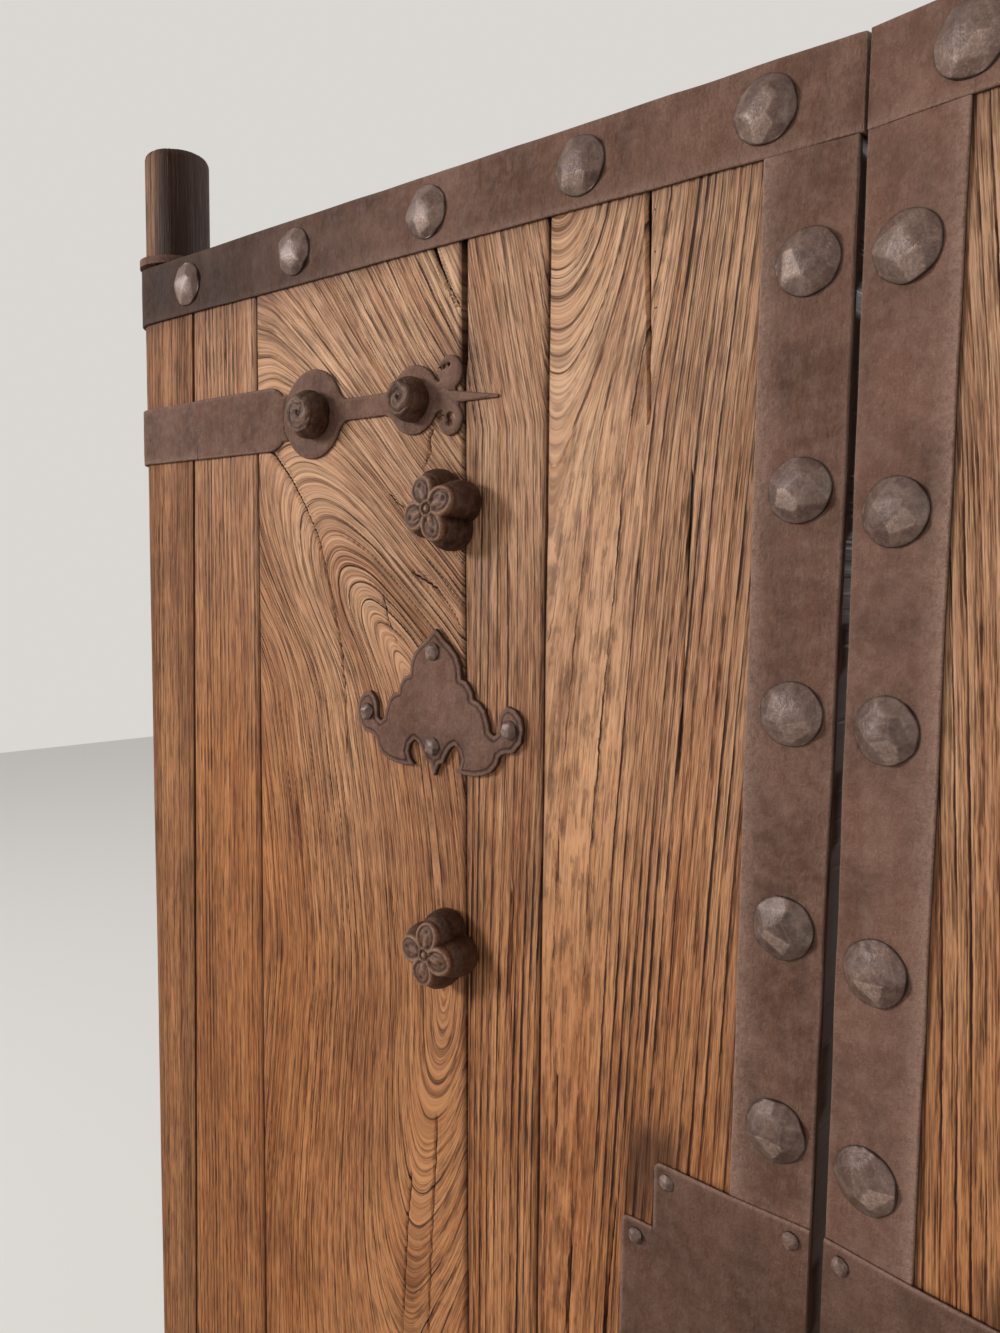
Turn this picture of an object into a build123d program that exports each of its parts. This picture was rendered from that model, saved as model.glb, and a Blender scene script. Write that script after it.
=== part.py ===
from build123d import *
from math import atan2, cos, degrees, pi
import os

# Two-leaf timber gate that turns on wooden pivots, bound with forged iron straps.
# Millimetres, +Z up. The origin is on the ground, midway between the leaves, in the
# plane of the closed boards. The studded face looks toward -Y and the leaves open to +Y.
# A leaf is built in its own frame: the pivot axis is its Z axis, the boards run along
# +X and their studded face is at y = -STILE_RADIUS. The right leaf is the mirror image.

# Leaves
LEAF_HEIGHT = 1947.0
LEAF_REACH = 979.0          # pivot axis to meeting edge
MEETING_GAP = 7.0           # between the closed leaves
AJAR = 5.0                  # degrees that each leaf stands open
UNDER_LEAF = 6.0            # clearance over the threshold

# Pivot stile, a squared post with a rounded outer edge and round ends
STILE_RADIUS = 45.0         # also half the thickness of the leaf
STILE_BACK = 110.0          # pivot axis to the inner face, behind the boards
PIVOT_RADIUS = 43.0
PIVOT_HEAD = 158.0
PIVOT_CHAMFER = 10.0
PIVOT_CLEARANCE = 0.1       # running fit in cup and keeper
BEARING_GAP = 0.3           # under the pivot's foot

# Boards, rebated to lap over each other behind an open joint
BOARD_THICKNESS = 45.0
BOARD_LAP = 12.0
BOARD_JOINT = 2.5
JOINTS = ((62.0, 100.0), (232.0, 232.0), (602.0, 572.0), (689.0, 681.0))   # foot, head

# Ledges across the back
LEDGE_HEIGHT = 110.0
LEDGE_SETBACK = 16.0        # from the meeting edge
LEDGE_CHAMFER = 7.0
TENON_LENGTH = 34.0
TENON_THICKNESS = 20.0
TENON_HEIGHT = 70.0
TENON_SLACK = 1.0           # at the bottom of the mortise

# Flat iron
SEAT = 0.2                  # paint and unevenness between iron and wood
STRAP_WIDTH = 75.0
STRAP_THICKNESS = 4.0
STRAP_RETURN = 92.0         # pivot axis to the strap's end on the back
STRAP_NAIL_INSET = 20.0     # from that end to its nail
STRAP_FOLD = 38.0           # turned round the left meeting edge
FOLD_RADIUS = 3.0
MEETING_STRAP_WIDTH = 78.5

# Hinge straps, forged in one piece from the band to the curled tip
HINGE_THICKNESS = 5.0
HINGE_WIDTH = 76.0
HINGE_FROM_EDGE = 226.5     # strap centre line to the leaf's head or foot
BAND_END = 282.0
BAND_SHOULDER = 22.0
BAND_NECK = 42.0
LARGE_DISC = (348.0, 52.5)  # distance from the axis, radius
SMALL_DISC = (504.0, 37.0)
NECK_HEIGHT = 26.0
SPIKE = ((538.0, 13.0), (559.0, 10.4), (567.0, 6.5), (621.0, 1.0))     # distance, half width
BAND_LAP = 1.0              # of the wrapped part and the front part
CURL_AT = (555.0, 25.0)
CURL_RADIUS = 15.5
CURL_EYE = 6.5
CURL_FACETS = 10

# Lobed knobs that hold the ledges, and round bosses on the hinge straps
KNOB_AT = 557.0
KNOB_FROM_HEAD = (345.0, 810.0)
KNOB_FROM_FOOT = (345.0, 620.0)
KNOB_RADIUS = 43.0
KNOB_DEPTH = 48.0
KNOB_LOBES = 4
KNOB_LOBE = (1.0, 0.95, 0.62, 0.95)     # radius shares from a lobe's tip through the notch
KNOB_TIERS = ((0.84, 0.0), (1.0, 0.35), (0.8, 0.7), (0.4, 1.0))     # width and height shares
BOSS_RADII = (27.0, 24.0)
BOSS_DEPTH = 31.0
BOSS_SIDES = 12
BOSS_TIERS = ((0.9, 0.0), (1.0, 0.35), (0.85, 0.75), (0.4, 1.0))

# Domed studs with hammered facets, set by hand at uneven distances from the axis and
# at uneven heights over the leaf's foot
STUD_RADIUS = 27.5
STUD_DEPTH = 11.0
STUD_SIDES = 8
STUD_TIERS = ((1.0, 0.0), (0.8, 0.6), (0.3, 1.0))
STRAP_STUDS = (95.0, 312.0, 526.0, 720.0, 902.0)
STUD_COLUMN = 37.0          # meeting edge to the column of studs
LEFT_STUD_HEIGHTS = (1784.0, 1606.0, 1425.0, 1245.0, 1068.0, 634.0, 456.0, 279.0, 124.0)
RIGHT_STUD_HEIGHTS = (1779.0, 1586.0, 1420.0, 1229.0, 1059.0, 630.0, 449.0, 286.0, 120.0)

# Cut-out ornament with four rivets
ORNAMENT_X = 542.0
ORNAMENT_FROM_HEAD = 553.0
ORNAMENT_THICKNESS = 4.0
BOW_FACETS = 4              # straight facets of each bow of its outline
ORNAMENT_RIVETS = ((0.0, 58.0), (-104.0, -13.5), (104.0, -13.5), (0.0, -42.0))

# Plate over the middle of the meeting edge, with a wing on its outer side
PLATE_OVER_FOOT = 854.0     # its middle
PLATE_HEIGHT = 280.0
PLATE_WIDTH = 156.0
PLATE_THICKNESS = 3.0
PLATE_CORNER = 8.0
WING_HEIGHT = 150.0
WING_WIDTH = 34.0
WING_LAP = 10.0             # the wing's root inside the plate
STEP_RUN = 9.0              # slope where the plate climbs onto the strap
STEP_PLAY = 2.0             # between that slope and the strap
STEP_SHIFT = 1.0            # of the slope's outer line
RIVET_INSET = 15.0
EDGE_RIVET_INSET = 19.5     # from the meeting edge

# Fastenings. Only the knobs and the spikes have shanks here: those of studs, nails
# and rivets are buried in the wood.
KNOB_SHANK = 10.0
SHANK_CLEARANCE = 0.2
RIVET_RADIUS = 8.0
RIVET_DEPTH = 6.0
RIVET_SIDES = 6
RIVET_TIERS = ((1.0, 0.0), (0.75, 0.65), (0.3, 1.0))
ROVE_WIDTH = 32.0
ROVE_THICKNESS = 3.0
ROVE_BURR = 4.0             # clenched end standing out of the rove
NAIL_RADIUS = 9.0
NAIL_DEPTH = 5.0
NAIL_SIDES = 4
NAIL_TIERS = ((1.0, 0.0), (0.22, 1.0))
LEDGE_NAILS = (165.0, 300.0, 450.0, 645.0, 770.0, 900.0)
NAIL_STAGGER = 26.0

# Frame
THRESHOLD_HEIGHT = 60.0
THRESHOLD_FRONT = 45.0      # in front of the closed boards
THRESHOLD_HORN = 30.0       # past the posts
STOP_HEIGHT = 14.0
STOP_CLEARANCE = 1.0
STOP_CHAMFER = 8.0
POST_WIDTH = 100.0
POST_DEPTH = 120.0
POST_SIDE_GAP = 15.0        # between the opened leaf and the post
POST_FRONT_GAP = 10.0
POST_CHAMFER = 6.0
POST_TENON = (60.0, 50.0, 45.0)
PEG_WIDTH = 16.0
PEG_BITE = 15.0             # past the tenon
PEG_CLEARANCE = 0.1
ANCHOR_RADIUS = 7.0
ANCHOR_HEIGHTS = (400.0, 1600.0)
KEEPER_LIFT = 4.0           # above the leaf's head
KEEPER_THICKNESS = 10.0
KEEPER_WALL = 8.0
KEEPER_PAD = 40.0           # radius of the end that lies on the post
KEEPER_SPIKE_PITCH = 44.0
SPIKE_WIDTH = 11.0
SPIKE_LENGTH = 80.0
SPIKE_HEAD = 22.0
SPIKE_HEAD_HEIGHT = 8.0
CUP_WALL = 5.0
CUP_DEPTH = 35.0
CUP_RIM = 3.0               # stands out of the threshold

# Places that follow from the sizes above
AXIS_X = LEAF_REACH + MEETING_GAP / 2
AXIS_Y = STILE_RADIUS
LEAF_FOOT = THRESHOLD_HEIGHT + UNDER_LEAF
LEAF_HEAD = LEAF_FOOT + LEAF_HEIGHT
STRAP_FACE = SEAT + STRAP_THICKNESS
HINGE_FACE = SEAT + HINGE_THICKNESS
POST_SIDE = STILE_RADIUS + POST_SIDE_GAP
POST_FRONT = AXIS_Y + STILE_RADIUS + POST_FRONT_GAP
POST_HEAD = LEAF_HEAD + KEEPER_LIFT
POST_X = AXIS_X + POST_SIDE + POST_WIDTH / 2
POST_Y = POST_FRONT + POST_DEPTH / 2
CUP_FLOOR = THRESHOLD_HEIGHT - CUP_DEPTH
CUP_BORE = PIVOT_RADIUS + PIVOT_CLEARANCE
LEDGE_THICKNESS = 2 * STILE_RADIUS - BOARD_THICKNESS
KNOB_HEIGHTS = [LEAF_HEAD - d for d in KNOB_FROM_HEAD] + [LEAF_FOOT + d for d in KNOB_FROM_FOOT]
HINGE_HEIGHTS = {"upper": LEAF_HEAD - HINGE_FROM_EDGE, "lower": LEAF_FOOT + HINGE_FROM_EDGE}
ORNAMENT_Z = LEAF_HEAD - ORNAMENT_FROM_HEAD
PLATE_MIDDLE = LEAF_FOOT + PLATE_OVER_FOOT
PLATE_FOOT = PLATE_MIDDLE - PLATE_HEIGHT / 2
PLATE_OUTER = LEAF_REACH - PLATE_WIDTH


def face(lift=0.0, x=0.0, z=0.0):
    """Plane of the boards' studded face, moved toward the viewer."""
    return Plane(origin=(x, -STILE_RADIUS - lift, z), x_dir=(1, 0, 0), z_dir=(0, -1, 0))


def back(lift=0.0):
    """Plane of the ledges' outer face. Its x runs toward the pivot."""
    return Plane(origin=(0, STILE_RADIUS + lift, 0), x_dir=(-1, 0, 0), z_dir=(0, 1, 0))


def stud_points(heights):
    """Centres of all domed studs of one leaf."""
    rows = (LEAF_HEAD - STRAP_WIDTH / 2, LEAF_FOOT + STRAP_WIDTH / 2)
    column = LEAF_REACH - STUD_COLUMN
    edges = [(x, z) for z in rows for x in STRAP_STUDS]
    return edges + [(column, LEAF_FOOT + height) for height in heights]


def boss_points(radius_index):
    disc = (LARGE_DISC, SMALL_DISC)[radius_index]
    return [(disc[0], z) for z in HINGE_HEIGHTS.values()]


def ornament_points():
    return [(ORNAMENT_X + x, ORNAMENT_Z + z) for x, z in ORNAMENT_RIVETS]


def plate_points():
    """Rivets on the wood and on the strap, each group with its own seat."""
    corner = PLATE_HEIGHT / 2 - RIVET_INSET
    wing = WING_HEIGHT / 2 - RIVET_INSET
    low = [(PLATE_OUTER + RIVET_INSET, PLATE_MIDDLE + s * corner) for s in (1, -1)]
    low += [(PLATE_OUTER - WING_WIDTH / 2, PLATE_MIDDLE + s * wing) for s in (1, -1)]
    high = [(LEAF_REACH - EDGE_RIVET_INSET, PLATE_MIDDLE + s * corner) for s in (1, -1)]
    return low, high


def square_pins(plane, points, width, length):
    """Square shanks that go into the wood from a plane."""
    with BuildPart() as pins:
        with BuildSketch(plane):
            with Locations(*points):
                Rectangle(width, width)
        extrude(amount=-length)
    return pins.part


def knob_holes():
    """Holes for the knobs' shanks, through board and ledge."""
    points = [(KNOB_AT, z) for z in KNOB_HEIGHTS]
    return square_pins(face(), points, KNOB_SHANK + 2 * SHANK_CLEARANCE, 2 * STILE_RADIUS)


def make_pivot_stile():
    """Stile with rounded outer edge, rebated for the first board, turned at both ends."""
    foot, head = JOINTS[0]
    half = BOARD_THICKNESS / 2
    with BuildPart() as stile:
        with BuildSketch(Plane.XY.offset(LEAF_FOOT)):
            Circle(STILE_RADIUS)
            with Locations((STILE_BACK / 2, STILE_RADIUS / 2)):
                Rectangle(STILE_BACK, STILE_RADIUS)
        extrude(amount=LEAF_HEIGHT)
        for depth, step in ((0, 0), (half, BOARD_LAP)):
            with BuildSketch(face(-depth)):
                with BuildLine():
                    Polyline(
                        (0, LEAF_FOOT),
                        (foot - step - BOARD_JOINT / 2, LEAF_FOOT),
                        (head - step - BOARD_JOINT / 2, LEAF_HEAD),
                        (0, LEAF_HEAD),
                        close=True,
                    )
                make_face()
            extrude(amount=-half)
        with BuildSketch(Plane.XY.offset(LEAF_HEAD)):
            Circle(PIVOT_RADIUS)
        extrude(amount=PIVOT_HEAD)
        chamfer(stile.edges().sort_by(Axis.Z)[-1], PIVOT_CHAMFER)
        with BuildSketch(Plane.XY.offset(CUP_FLOOR + BEARING_GAP)):
            Circle(PIVOT_RADIUS)
        extrude(until=Until.NEXT)
        for z in KNOB_HEIGHTS:
            with BuildSketch(Plane.YZ.offset(STILE_BACK)):
                with Locations((LEDGE_THICKNESS / 2, z)):
                    Rectangle(TENON_THICKNESS, TENON_HEIGHT)
            extrude(amount=-TENON_LENGTH - TENON_SLACK, mode=Mode.SUBTRACT)
    return stile.part


def make_board(index):
    """One board between two joints, its back half stepped toward the stile."""
    left = JOINTS[index]
    last = index == len(JOINTS) - 1
    right = (LEAF_REACH, LEAF_REACH) if last else JOINTS[index + 1]
    gap = 0 if last else BOARD_JOINT / 2
    half = BOARD_THICKNESS / 2
    with BuildPart() as board:
        for depth, step in ((0, 0), (half, BOARD_LAP)):
            step_right = 0 if last else step
            with BuildSketch(face(-depth)):
                with BuildLine():
                    Polyline(
                        (left[0] - step + BOARD_JOINT / 2, LEAF_FOOT),
                        (right[0] - step_right - gap, LEAF_FOOT),
                        (right[1] - step_right - gap, LEAF_HEAD),
                        (left[1] - step + BOARD_JOINT / 2, LEAF_HEAD),
                        close=True,
                    )
                make_face()
            extrude(amount=-half)
        add(knob_holes(), mode=Mode.SUBTRACT)
    return board.part


def make_ledge(height):
    """Ledge behind the boards, tenoned into the stile and chamfered along the back."""
    length = LEAF_REACH - LEDGE_SETBACK - STILE_BACK
    with BuildPart() as ledge:
        with BuildSketch(face(-BOARD_THICKNESS)):
            with Locations((STILE_BACK + length / 2, height)):
                Rectangle(length, LEDGE_HEIGHT)
        extrude(amount=-LEDGE_THICKNESS)
        rear = ledge.faces().sort_by(Axis.Y)[-1]
        chamfer(rear.edges().filter_by(Axis.X) + rear.edges().sort_by(Axis.X)[-1:], LEDGE_CHAMFER)
        with BuildSketch(Plane.YZ.offset(STILE_BACK)):
            with Locations((LEDGE_THICKNESS / 2, height)):
                Rectangle(TENON_THICKNESS, TENON_HEIGHT)
        extrude(amount=-TENON_LENGTH)
        add(knob_holes(), mode=Mode.SUBTRACT)
    return ledge.part


def wrapped_band(foot, height, thickness, reach, fold=0.0):
    """Band along the front that turns round the outer edge and ends on the back."""
    inner = STILE_RADIUS + SEAT
    outer = inner + thickness
    edge = reach + SEAT + thickness if fold else reach
    with BuildPart() as band:
        with BuildSketch(Plane.XY.offset(foot)):
            with BuildLine():
                Polyline((reach + SEAT * bool(fold), -inner), (0, -inner))
                ThreePointArc((0, -inner), (-inner, 0), (0, inner))
                Polyline((0, inner), (STRAP_RETURN, inner), (STRAP_RETURN, outer), (0, outer))
                ThreePointArc((0, outer), (-outer, 0), (0, -outer))
                Polyline((0, -outer), (edge, -outer))
                if fold:
                    Polyline((edge, -outer), (edge, fold - inner), (reach + SEAT, fold - inner))
                    Line((reach + SEAT, fold - inner), (reach + SEAT, -inner))
                else:
                    Line((edge, -outer), (edge, -inner))
            make_face()
        extrude(amount=height)
        if fold:
            corner = band.edges().filter_by(Axis.Z).group_by(Axis.Y)[0].sort_by(Axis.X)[-1]
            fillet(corner, FOLD_RADIUS)
    return band.part


def make_meeting_strap():
    """Upright strap along the meeting edge, between the two edge straps."""
    height = LEAF_HEIGHT - 2 * STRAP_WIDTH
    with BuildPart() as strap:
        with BuildSketch(face(SEAT)):
            with Locations((LEAF_REACH - MEETING_STRAP_WIDTH / 2, LEAF_FOOT + LEAF_HEIGHT / 2)):
                Rectangle(MEETING_STRAP_WIDTH, height)
        extrude(amount=STRAP_THICKNESS)
    return strap.part


def make_hinge_form():
    """Front of a hinge strap lying on XY: shoulders, two discs, a neck, a spike, two curls."""
    large, small = LARGE_DISC, SMALL_DISC
    with BuildPart() as form:
        with BuildSketch() as outline:
            with Locations(((STILE_BACK + BAND_END) / 2, 0)):
                Rectangle(BAND_END - STILE_BACK, HINGE_WIDTH)
            fillet(outline.vertices().group_by(Axis.X)[-1], BAND_SHOULDER)
            with Locations((large[0], 0)):
                Circle(large[1])
            with Locations((small[0], 0)):
                Circle(small[1])
            with Locations(((BAND_END + large[0] - BAND_SHOULDER) / 2, 0)):
                Rectangle(large[0] - BAND_END + BAND_SHOULDER, BAND_NECK)
            with Locations(((large[0] + small[0]) / 2, 0)):
                Rectangle(small[0] - large[0], NECK_HEIGHT)
            with Locations((CURL_AT[0], CURL_AT[1]), (CURL_AT[0], -CURL_AT[1])):
                RegularPolygon(CURL_RADIUS, CURL_FACETS)
                RegularPolygon(CURL_EYE, CURL_FACETS, mode=Mode.SUBTRACT)
            with BuildLine():
                Polyline(*SPIKE, *[(x, -half) for x, half in reversed(SPIKE)], close=True)
            make_face()
        extrude(amount=HINGE_THICKNESS)
    return form.part


def make_hinge_strap(height):
    """Hinge strap that grips the stile and spreads over the boards."""
    foot = height - HINGE_WIDTH / 2
    form = make_hinge_form()
    with BuildPart() as strap:
        add(wrapped_band(foot, HINGE_WIDTH, HINGE_THICKNESS, STILE_BACK + BAND_LAP))
        with Locations(face(SEAT, z=height)):
            add(form)
    return strap.part


def bow(points, middle, end):
    """Goes on from the last point along an arc, in straight facets."""
    arc = ThreePointArc(points[-1], middle, end)
    points += [arc @ (i / BOW_FACETS) for i in range(1, BOW_FACETS + 1)]


def ornament_outline():
    """Right half of the ornament, from its tip round the ear to the pendant."""
    points = [Vector(0, 81), Vector(12, 69.5)]
    bow(points, (30.5, 55.5), (37, 33))
    bow(points, (49, 26), (54, 13))
    bow(points, (68.5, 7), (75.5, -11))
    points += [Vector(77, -18.5), Vector(83, -22.5), Vector(88.5, -18.5), Vector(89, -11)]
    bow(points, (91, 3), (100, 9.8))
    bow(points, (120.5, -12), (108, -37))
    points.append(Vector(90, -43.4))
    bow(points, (68, -65), (30.2, -65.7))
    bow(points, (39.3, -52), (29.9, -37.7))
    points += [Vector(20.5, -44.5), Vector(15, -53), Vector(13, -58.5), Vector(6, -61)]
    points.append(Vector(0, -75))
    return points


def make_ornament_plate():
    """Cut-out plate of mirrored lobes on the boards."""
    half = ornament_outline()
    other = [Vector(-point.X, point.Y) for point in half[-2:0:-1]]
    with BuildPart() as form:
        with BuildSketch():
            with BuildLine():
                Polyline(*half, *other, close=True)
            make_face()
        extrude(amount=ORNAMENT_THICKNESS)
    with BuildPart() as plate:
        with Locations(face(SEAT, ORNAMENT_X, ORNAMENT_Z)):
            add(form.part)
    return plate.part


def make_latch_plate():
    """Plate over the meeting strap that steps down onto the boards beside it."""
    outer = LEAF_REACH
    strap_edge = LEAF_REACH - MEETING_STRAP_WIDTH - STEP_PLAY
    wood, iron = -STILE_RADIUS - SEAT, -STILE_RADIUS - STRAP_FACE
    wing = PLATE_OUTER - WING_WIDTH
    with BuildPart() as plate:
        with BuildSketch(Plane.XY.offset(PLATE_FOOT)):
            with BuildLine():
                Polyline(
                    (wing, wood),
                    (strap_edge - STEP_RUN, wood),
                    (strap_edge, iron),
                    (outer, iron),
                    (outer, iron - PLATE_THICKNESS),
                    (strap_edge - STEP_SHIFT, iron - PLATE_THICKNESS),
                    (strap_edge - STEP_RUN - STEP_SHIFT, wood - PLATE_THICKNESS),
                    (wing, wood - PLATE_THICKNESS),
                    close=True,
                )
            make_face()
        extrude(amount=PLATE_HEIGHT)
        with BuildSketch(face()) as outline:
            with Locations((LEAF_REACH - PLATE_WIDTH / 2, PLATE_MIDDLE)):
                Rectangle(PLATE_WIDTH, PLATE_HEIGHT)
            fillet(outline.vertices().group_by(Axis.X)[0], PLATE_CORNER)
            with Locations((PLATE_OUTER - (WING_WIDTH - WING_LAP) / 2, PLATE_MIDDLE)):
                RectangleRounded(WING_WIDTH + WING_LAP, WING_HEIGHT, PLATE_CORNER)
        extrude(amount=STRAP_FACE + 2 * PLATE_THICKNESS, mode=Mode.INTERSECT)
    return plate.part


def faceted_dome(radius, depth, tiers, sides):
    """Dome of flat facets, as a hammer leaves them, standing on the XY plane."""
    with BuildPart() as dome:
        for (low, foot), (high, top) in zip(tiers, tiers[1:]):
            rise = depth * (top - foot)
            run = radius * (low - high) * cos(pi / sides)
            with BuildSketch(Plane.XY.offset(depth * foot)):
                RegularPolygon(radius * low, sides)
            extrude(amount=rise, taper=degrees(atan2(run, rise)))
    return dome.part


def seated(dome, plane, points):
    """Copies of one head on a plane."""
    with BuildPart() as heads:
        with Locations(plane):
            with Locations(*points):
                add(dome)
    return heads.part


def make_studs(heights):
    """Domed studs on all straps of one leaf."""
    dome = faceted_dome(STUD_RADIUS, STUD_DEPTH, STUD_TIERS, STUD_SIDES)
    return seated(dome, face(STRAP_FACE), stud_points(heights))


def make_bosses():
    """Round bosses on the discs of both hinge straps."""
    with BuildPart() as bosses:
        for index, radius in enumerate(BOSS_RADII):
            dome = faceted_dome(radius, BOSS_DEPTH, BOSS_TIERS, BOSS_SIDES)
            add(seated(dome, face(HINGE_FACE), boss_points(index)))
    return bosses.part


def make_knob_form():
    """Knob of four lobes that narrow toward its tip, in flat facets on the XY plane."""
    shares = KNOB_LOBE * KNOB_LOBES
    rings = []
    for width, height in KNOB_TIERS:
        ray = [Vector(KNOB_RADIUS * width * share, 0, KNOB_DEPTH * height) for share in shares]
        rings.append([r.rotate(Axis.Z, i * 360 / len(shares)) for i, r in enumerate(ray)])
    faces = [Face(Wire.make_polygon(ring)) for ring in (rings[0], rings[-1])]
    for low, high in zip(rings, rings[1:]):
        for i in range(len(shares)):
            faces.append(Face(Wire.make_polygon((low[i - 1], low[i], high[i], high[i - 1]))))
    with BuildPart() as form:
        add(Solid(Shell(faces)))
    return form.part


def make_knobs():
    """Lobed knobs whose shanks pass through board and ledge."""
    knob = make_knob_form()
    points = [(KNOB_AT, z) for z in KNOB_HEIGHTS]
    length = 2 * STILE_RADIUS + ROVE_THICKNESS + ROVE_BURR
    with BuildPart() as knobs:
        with Locations(face()):
            with Locations(*points):
                add(knob)
        add(square_pins(face(), points, KNOB_SHANK, length))
    return knobs.part


def make_roves():
    """Square washers on the back, under the clenched ends of the knobs."""
    points = [(-KNOB_AT, z) for z in KNOB_HEIGHTS]
    with BuildPart() as roves:
        with BuildSketch(back()):
            with Locations(*points):
                Rectangle(ROVE_WIDTH, ROVE_WIDTH)
                hole = KNOB_SHANK + 2 * SHANK_CLEARANCE
                Rectangle(hole, hole, mode=Mode.SUBTRACT)
        extrude(amount=ROVE_THICKNESS)
    return roves.part


def nail_head():
    """Rose head of a nail, standing on the XY plane."""
    return faceted_dome(NAIL_RADIUS, NAIL_DEPTH, NAIL_TIERS, NAIL_SIDES)


def make_ledge_nails():
    """Nails driven from the back through the ledges, above and below their middle by turns."""
    points = [
        (-x, z + NAIL_STAGGER * (-1) ** i) for z in KNOB_HEIGHTS for i, x in enumerate(LEDGE_NAILS)
    ]
    return seated(nail_head(), back(), points)


def make_strap_nails():
    """Nails in the ends of the straps behind the stile."""
    x = STRAP_NAIL_INSET - STRAP_RETURN
    edges = [(x, LEAF_HEAD - STRAP_WIDTH / 2), (x, LEAF_FOOT + STRAP_WIDTH / 2)]
    with BuildPart() as nails:
        add(seated(nail_head(), back(STRAP_FACE), edges))
        add(seated(nail_head(), back(HINGE_FACE), [(x, z) for z in HINGE_HEIGHTS.values()]))
    return nails.part


def rivet_head():
    """Small domed rivet, standing on the XY plane."""
    return faceted_dome(RIVET_RADIUS, RIVET_DEPTH, RIVET_TIERS, RIVET_SIDES)


def make_plate_rivets():
    """Rivets of the latch plate, some over the wood and some over the strap."""
    low, high = plate_points()
    with BuildPart() as rivets:
        add(seated(rivet_head(), face(SEAT + PLATE_THICKNESS), low))
        add(seated(rivet_head(), face(STRAP_FACE + PLATE_THICKNESS), high))
    return rivets.part


def make_ornament_rivets():
    return seated(rivet_head(), face(SEAT + ORNAMENT_THICKNESS), ornament_points())


def make_leaf(heights, fold):
    """All pieces of one leaf in the leaf's own frame, by name."""
    head_strap = LEAF_HEAD - STRAP_WIDTH
    pieces = {
        "pivot_stile": make_pivot_stile(),
        "top_strap": wrapped_band(head_strap, STRAP_WIDTH, STRAP_THICKNESS, LEAF_REACH, fold),
        "bottom_strap": wrapped_band(LEAF_FOOT, STRAP_WIDTH, STRAP_THICKNESS, LEAF_REACH),
        "meeting_strap": make_meeting_strap(),
        "latch_plate": make_latch_plate(),
        "latch_plate_rivets": make_plate_rivets(),
        "ornament_plate": make_ornament_plate(),
        "ornament_rivets": make_ornament_rivets(),
        "strap_studs": make_studs(heights),
        "hinge_bosses": make_bosses(),
        "lobed_knobs": make_knobs(),
        "knob_roves": make_roves(),
        "ledge_nails": make_ledge_nails(),
        "strap_nails": make_strap_nails(),
    }
    for name, z in HINGE_HEIGHTS.items():
        pieces[f"{name}_hinge_strap"] = make_hinge_strap(z)
    for index in range(len(JOINTS)):
        pieces[f"board_{index + 1}"] = make_board(index)
    for index, z in enumerate(sorted(KNOB_HEIGHTS, reverse=True)):
        pieces[f"ledge_{index + 1}"] = make_ledge(z)
    return pieces


def make_threshold():
    """Sill with a stop along the front, mortised for the posts and bored for the cups."""
    half = POST_X + POST_WIDTH / 2 + THRESHOLD_HORN
    rear = POST_FRONT + POST_DEPTH
    stop_face = -STRAP_FACE - STOP_CLEARANCE
    with BuildPart() as sill:
        with BuildSketch(Plane.XY):
            with Locations((0, (rear - THRESHOLD_FRONT) / 2)):
                Rectangle(2 * half, rear + THRESHOLD_FRONT)
        extrude(amount=THRESHOLD_HEIGHT)
        with BuildSketch(Plane.XY.offset(THRESHOLD_HEIGHT)):
            with Locations((0, (stop_face - THRESHOLD_FRONT) / 2)):
                Rectangle(2 * half, stop_face + THRESHOLD_FRONT)
        extrude(amount=STOP_HEIGHT)
        front_edge = sill.edges().filter_by(Axis.X).group_by(Axis.Z)[-1].sort_by(Axis.Y)[0]
        chamfer(front_edge, STOP_CHAMFER)
        with BuildSketch(Plane.XY.offset(THRESHOLD_HEIGHT)):
            with Locations((-POST_X, POST_Y), (POST_X, POST_Y)):
                Rectangle(POST_TENON[0], POST_TENON[1])
        extrude(amount=-POST_TENON[2] - TENON_SLACK, mode=Mode.SUBTRACT)
        with BuildSketch(Plane.XY.offset(THRESHOLD_HEIGHT)):
            with Locations((-AXIS_X, AXIS_Y), (AXIS_X, AXIS_Y)):
                Circle(CUP_BORE + CUP_WALL + SEAT)
        extrude(amount=-CUP_DEPTH - CUP_WALL, mode=Mode.SUBTRACT)
        add(peg_bars(PEG_CLEARANCE), mode=Mode.SUBTRACT)
    return sill.part


def peg_bars(slack=0.0):
    """Square pegs from the back of the threshold through the tenons of the posts."""
    rear = POST_FRONT + POST_DEPTH
    plane = Plane(origin=(0, rear, 0), x_dir=(-1, 0, 0), z_dir=(0, 1, 0))
    points = [(side * POST_X, THRESHOLD_HEIGHT - POST_TENON[2] / 2) for side in (1, -1)]
    depth = (POST_DEPTH + POST_TENON[1]) / 2 + PEG_BITE
    return square_pins(plane, points, PEG_WIDTH + 2 * slack, depth + slack)


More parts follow.
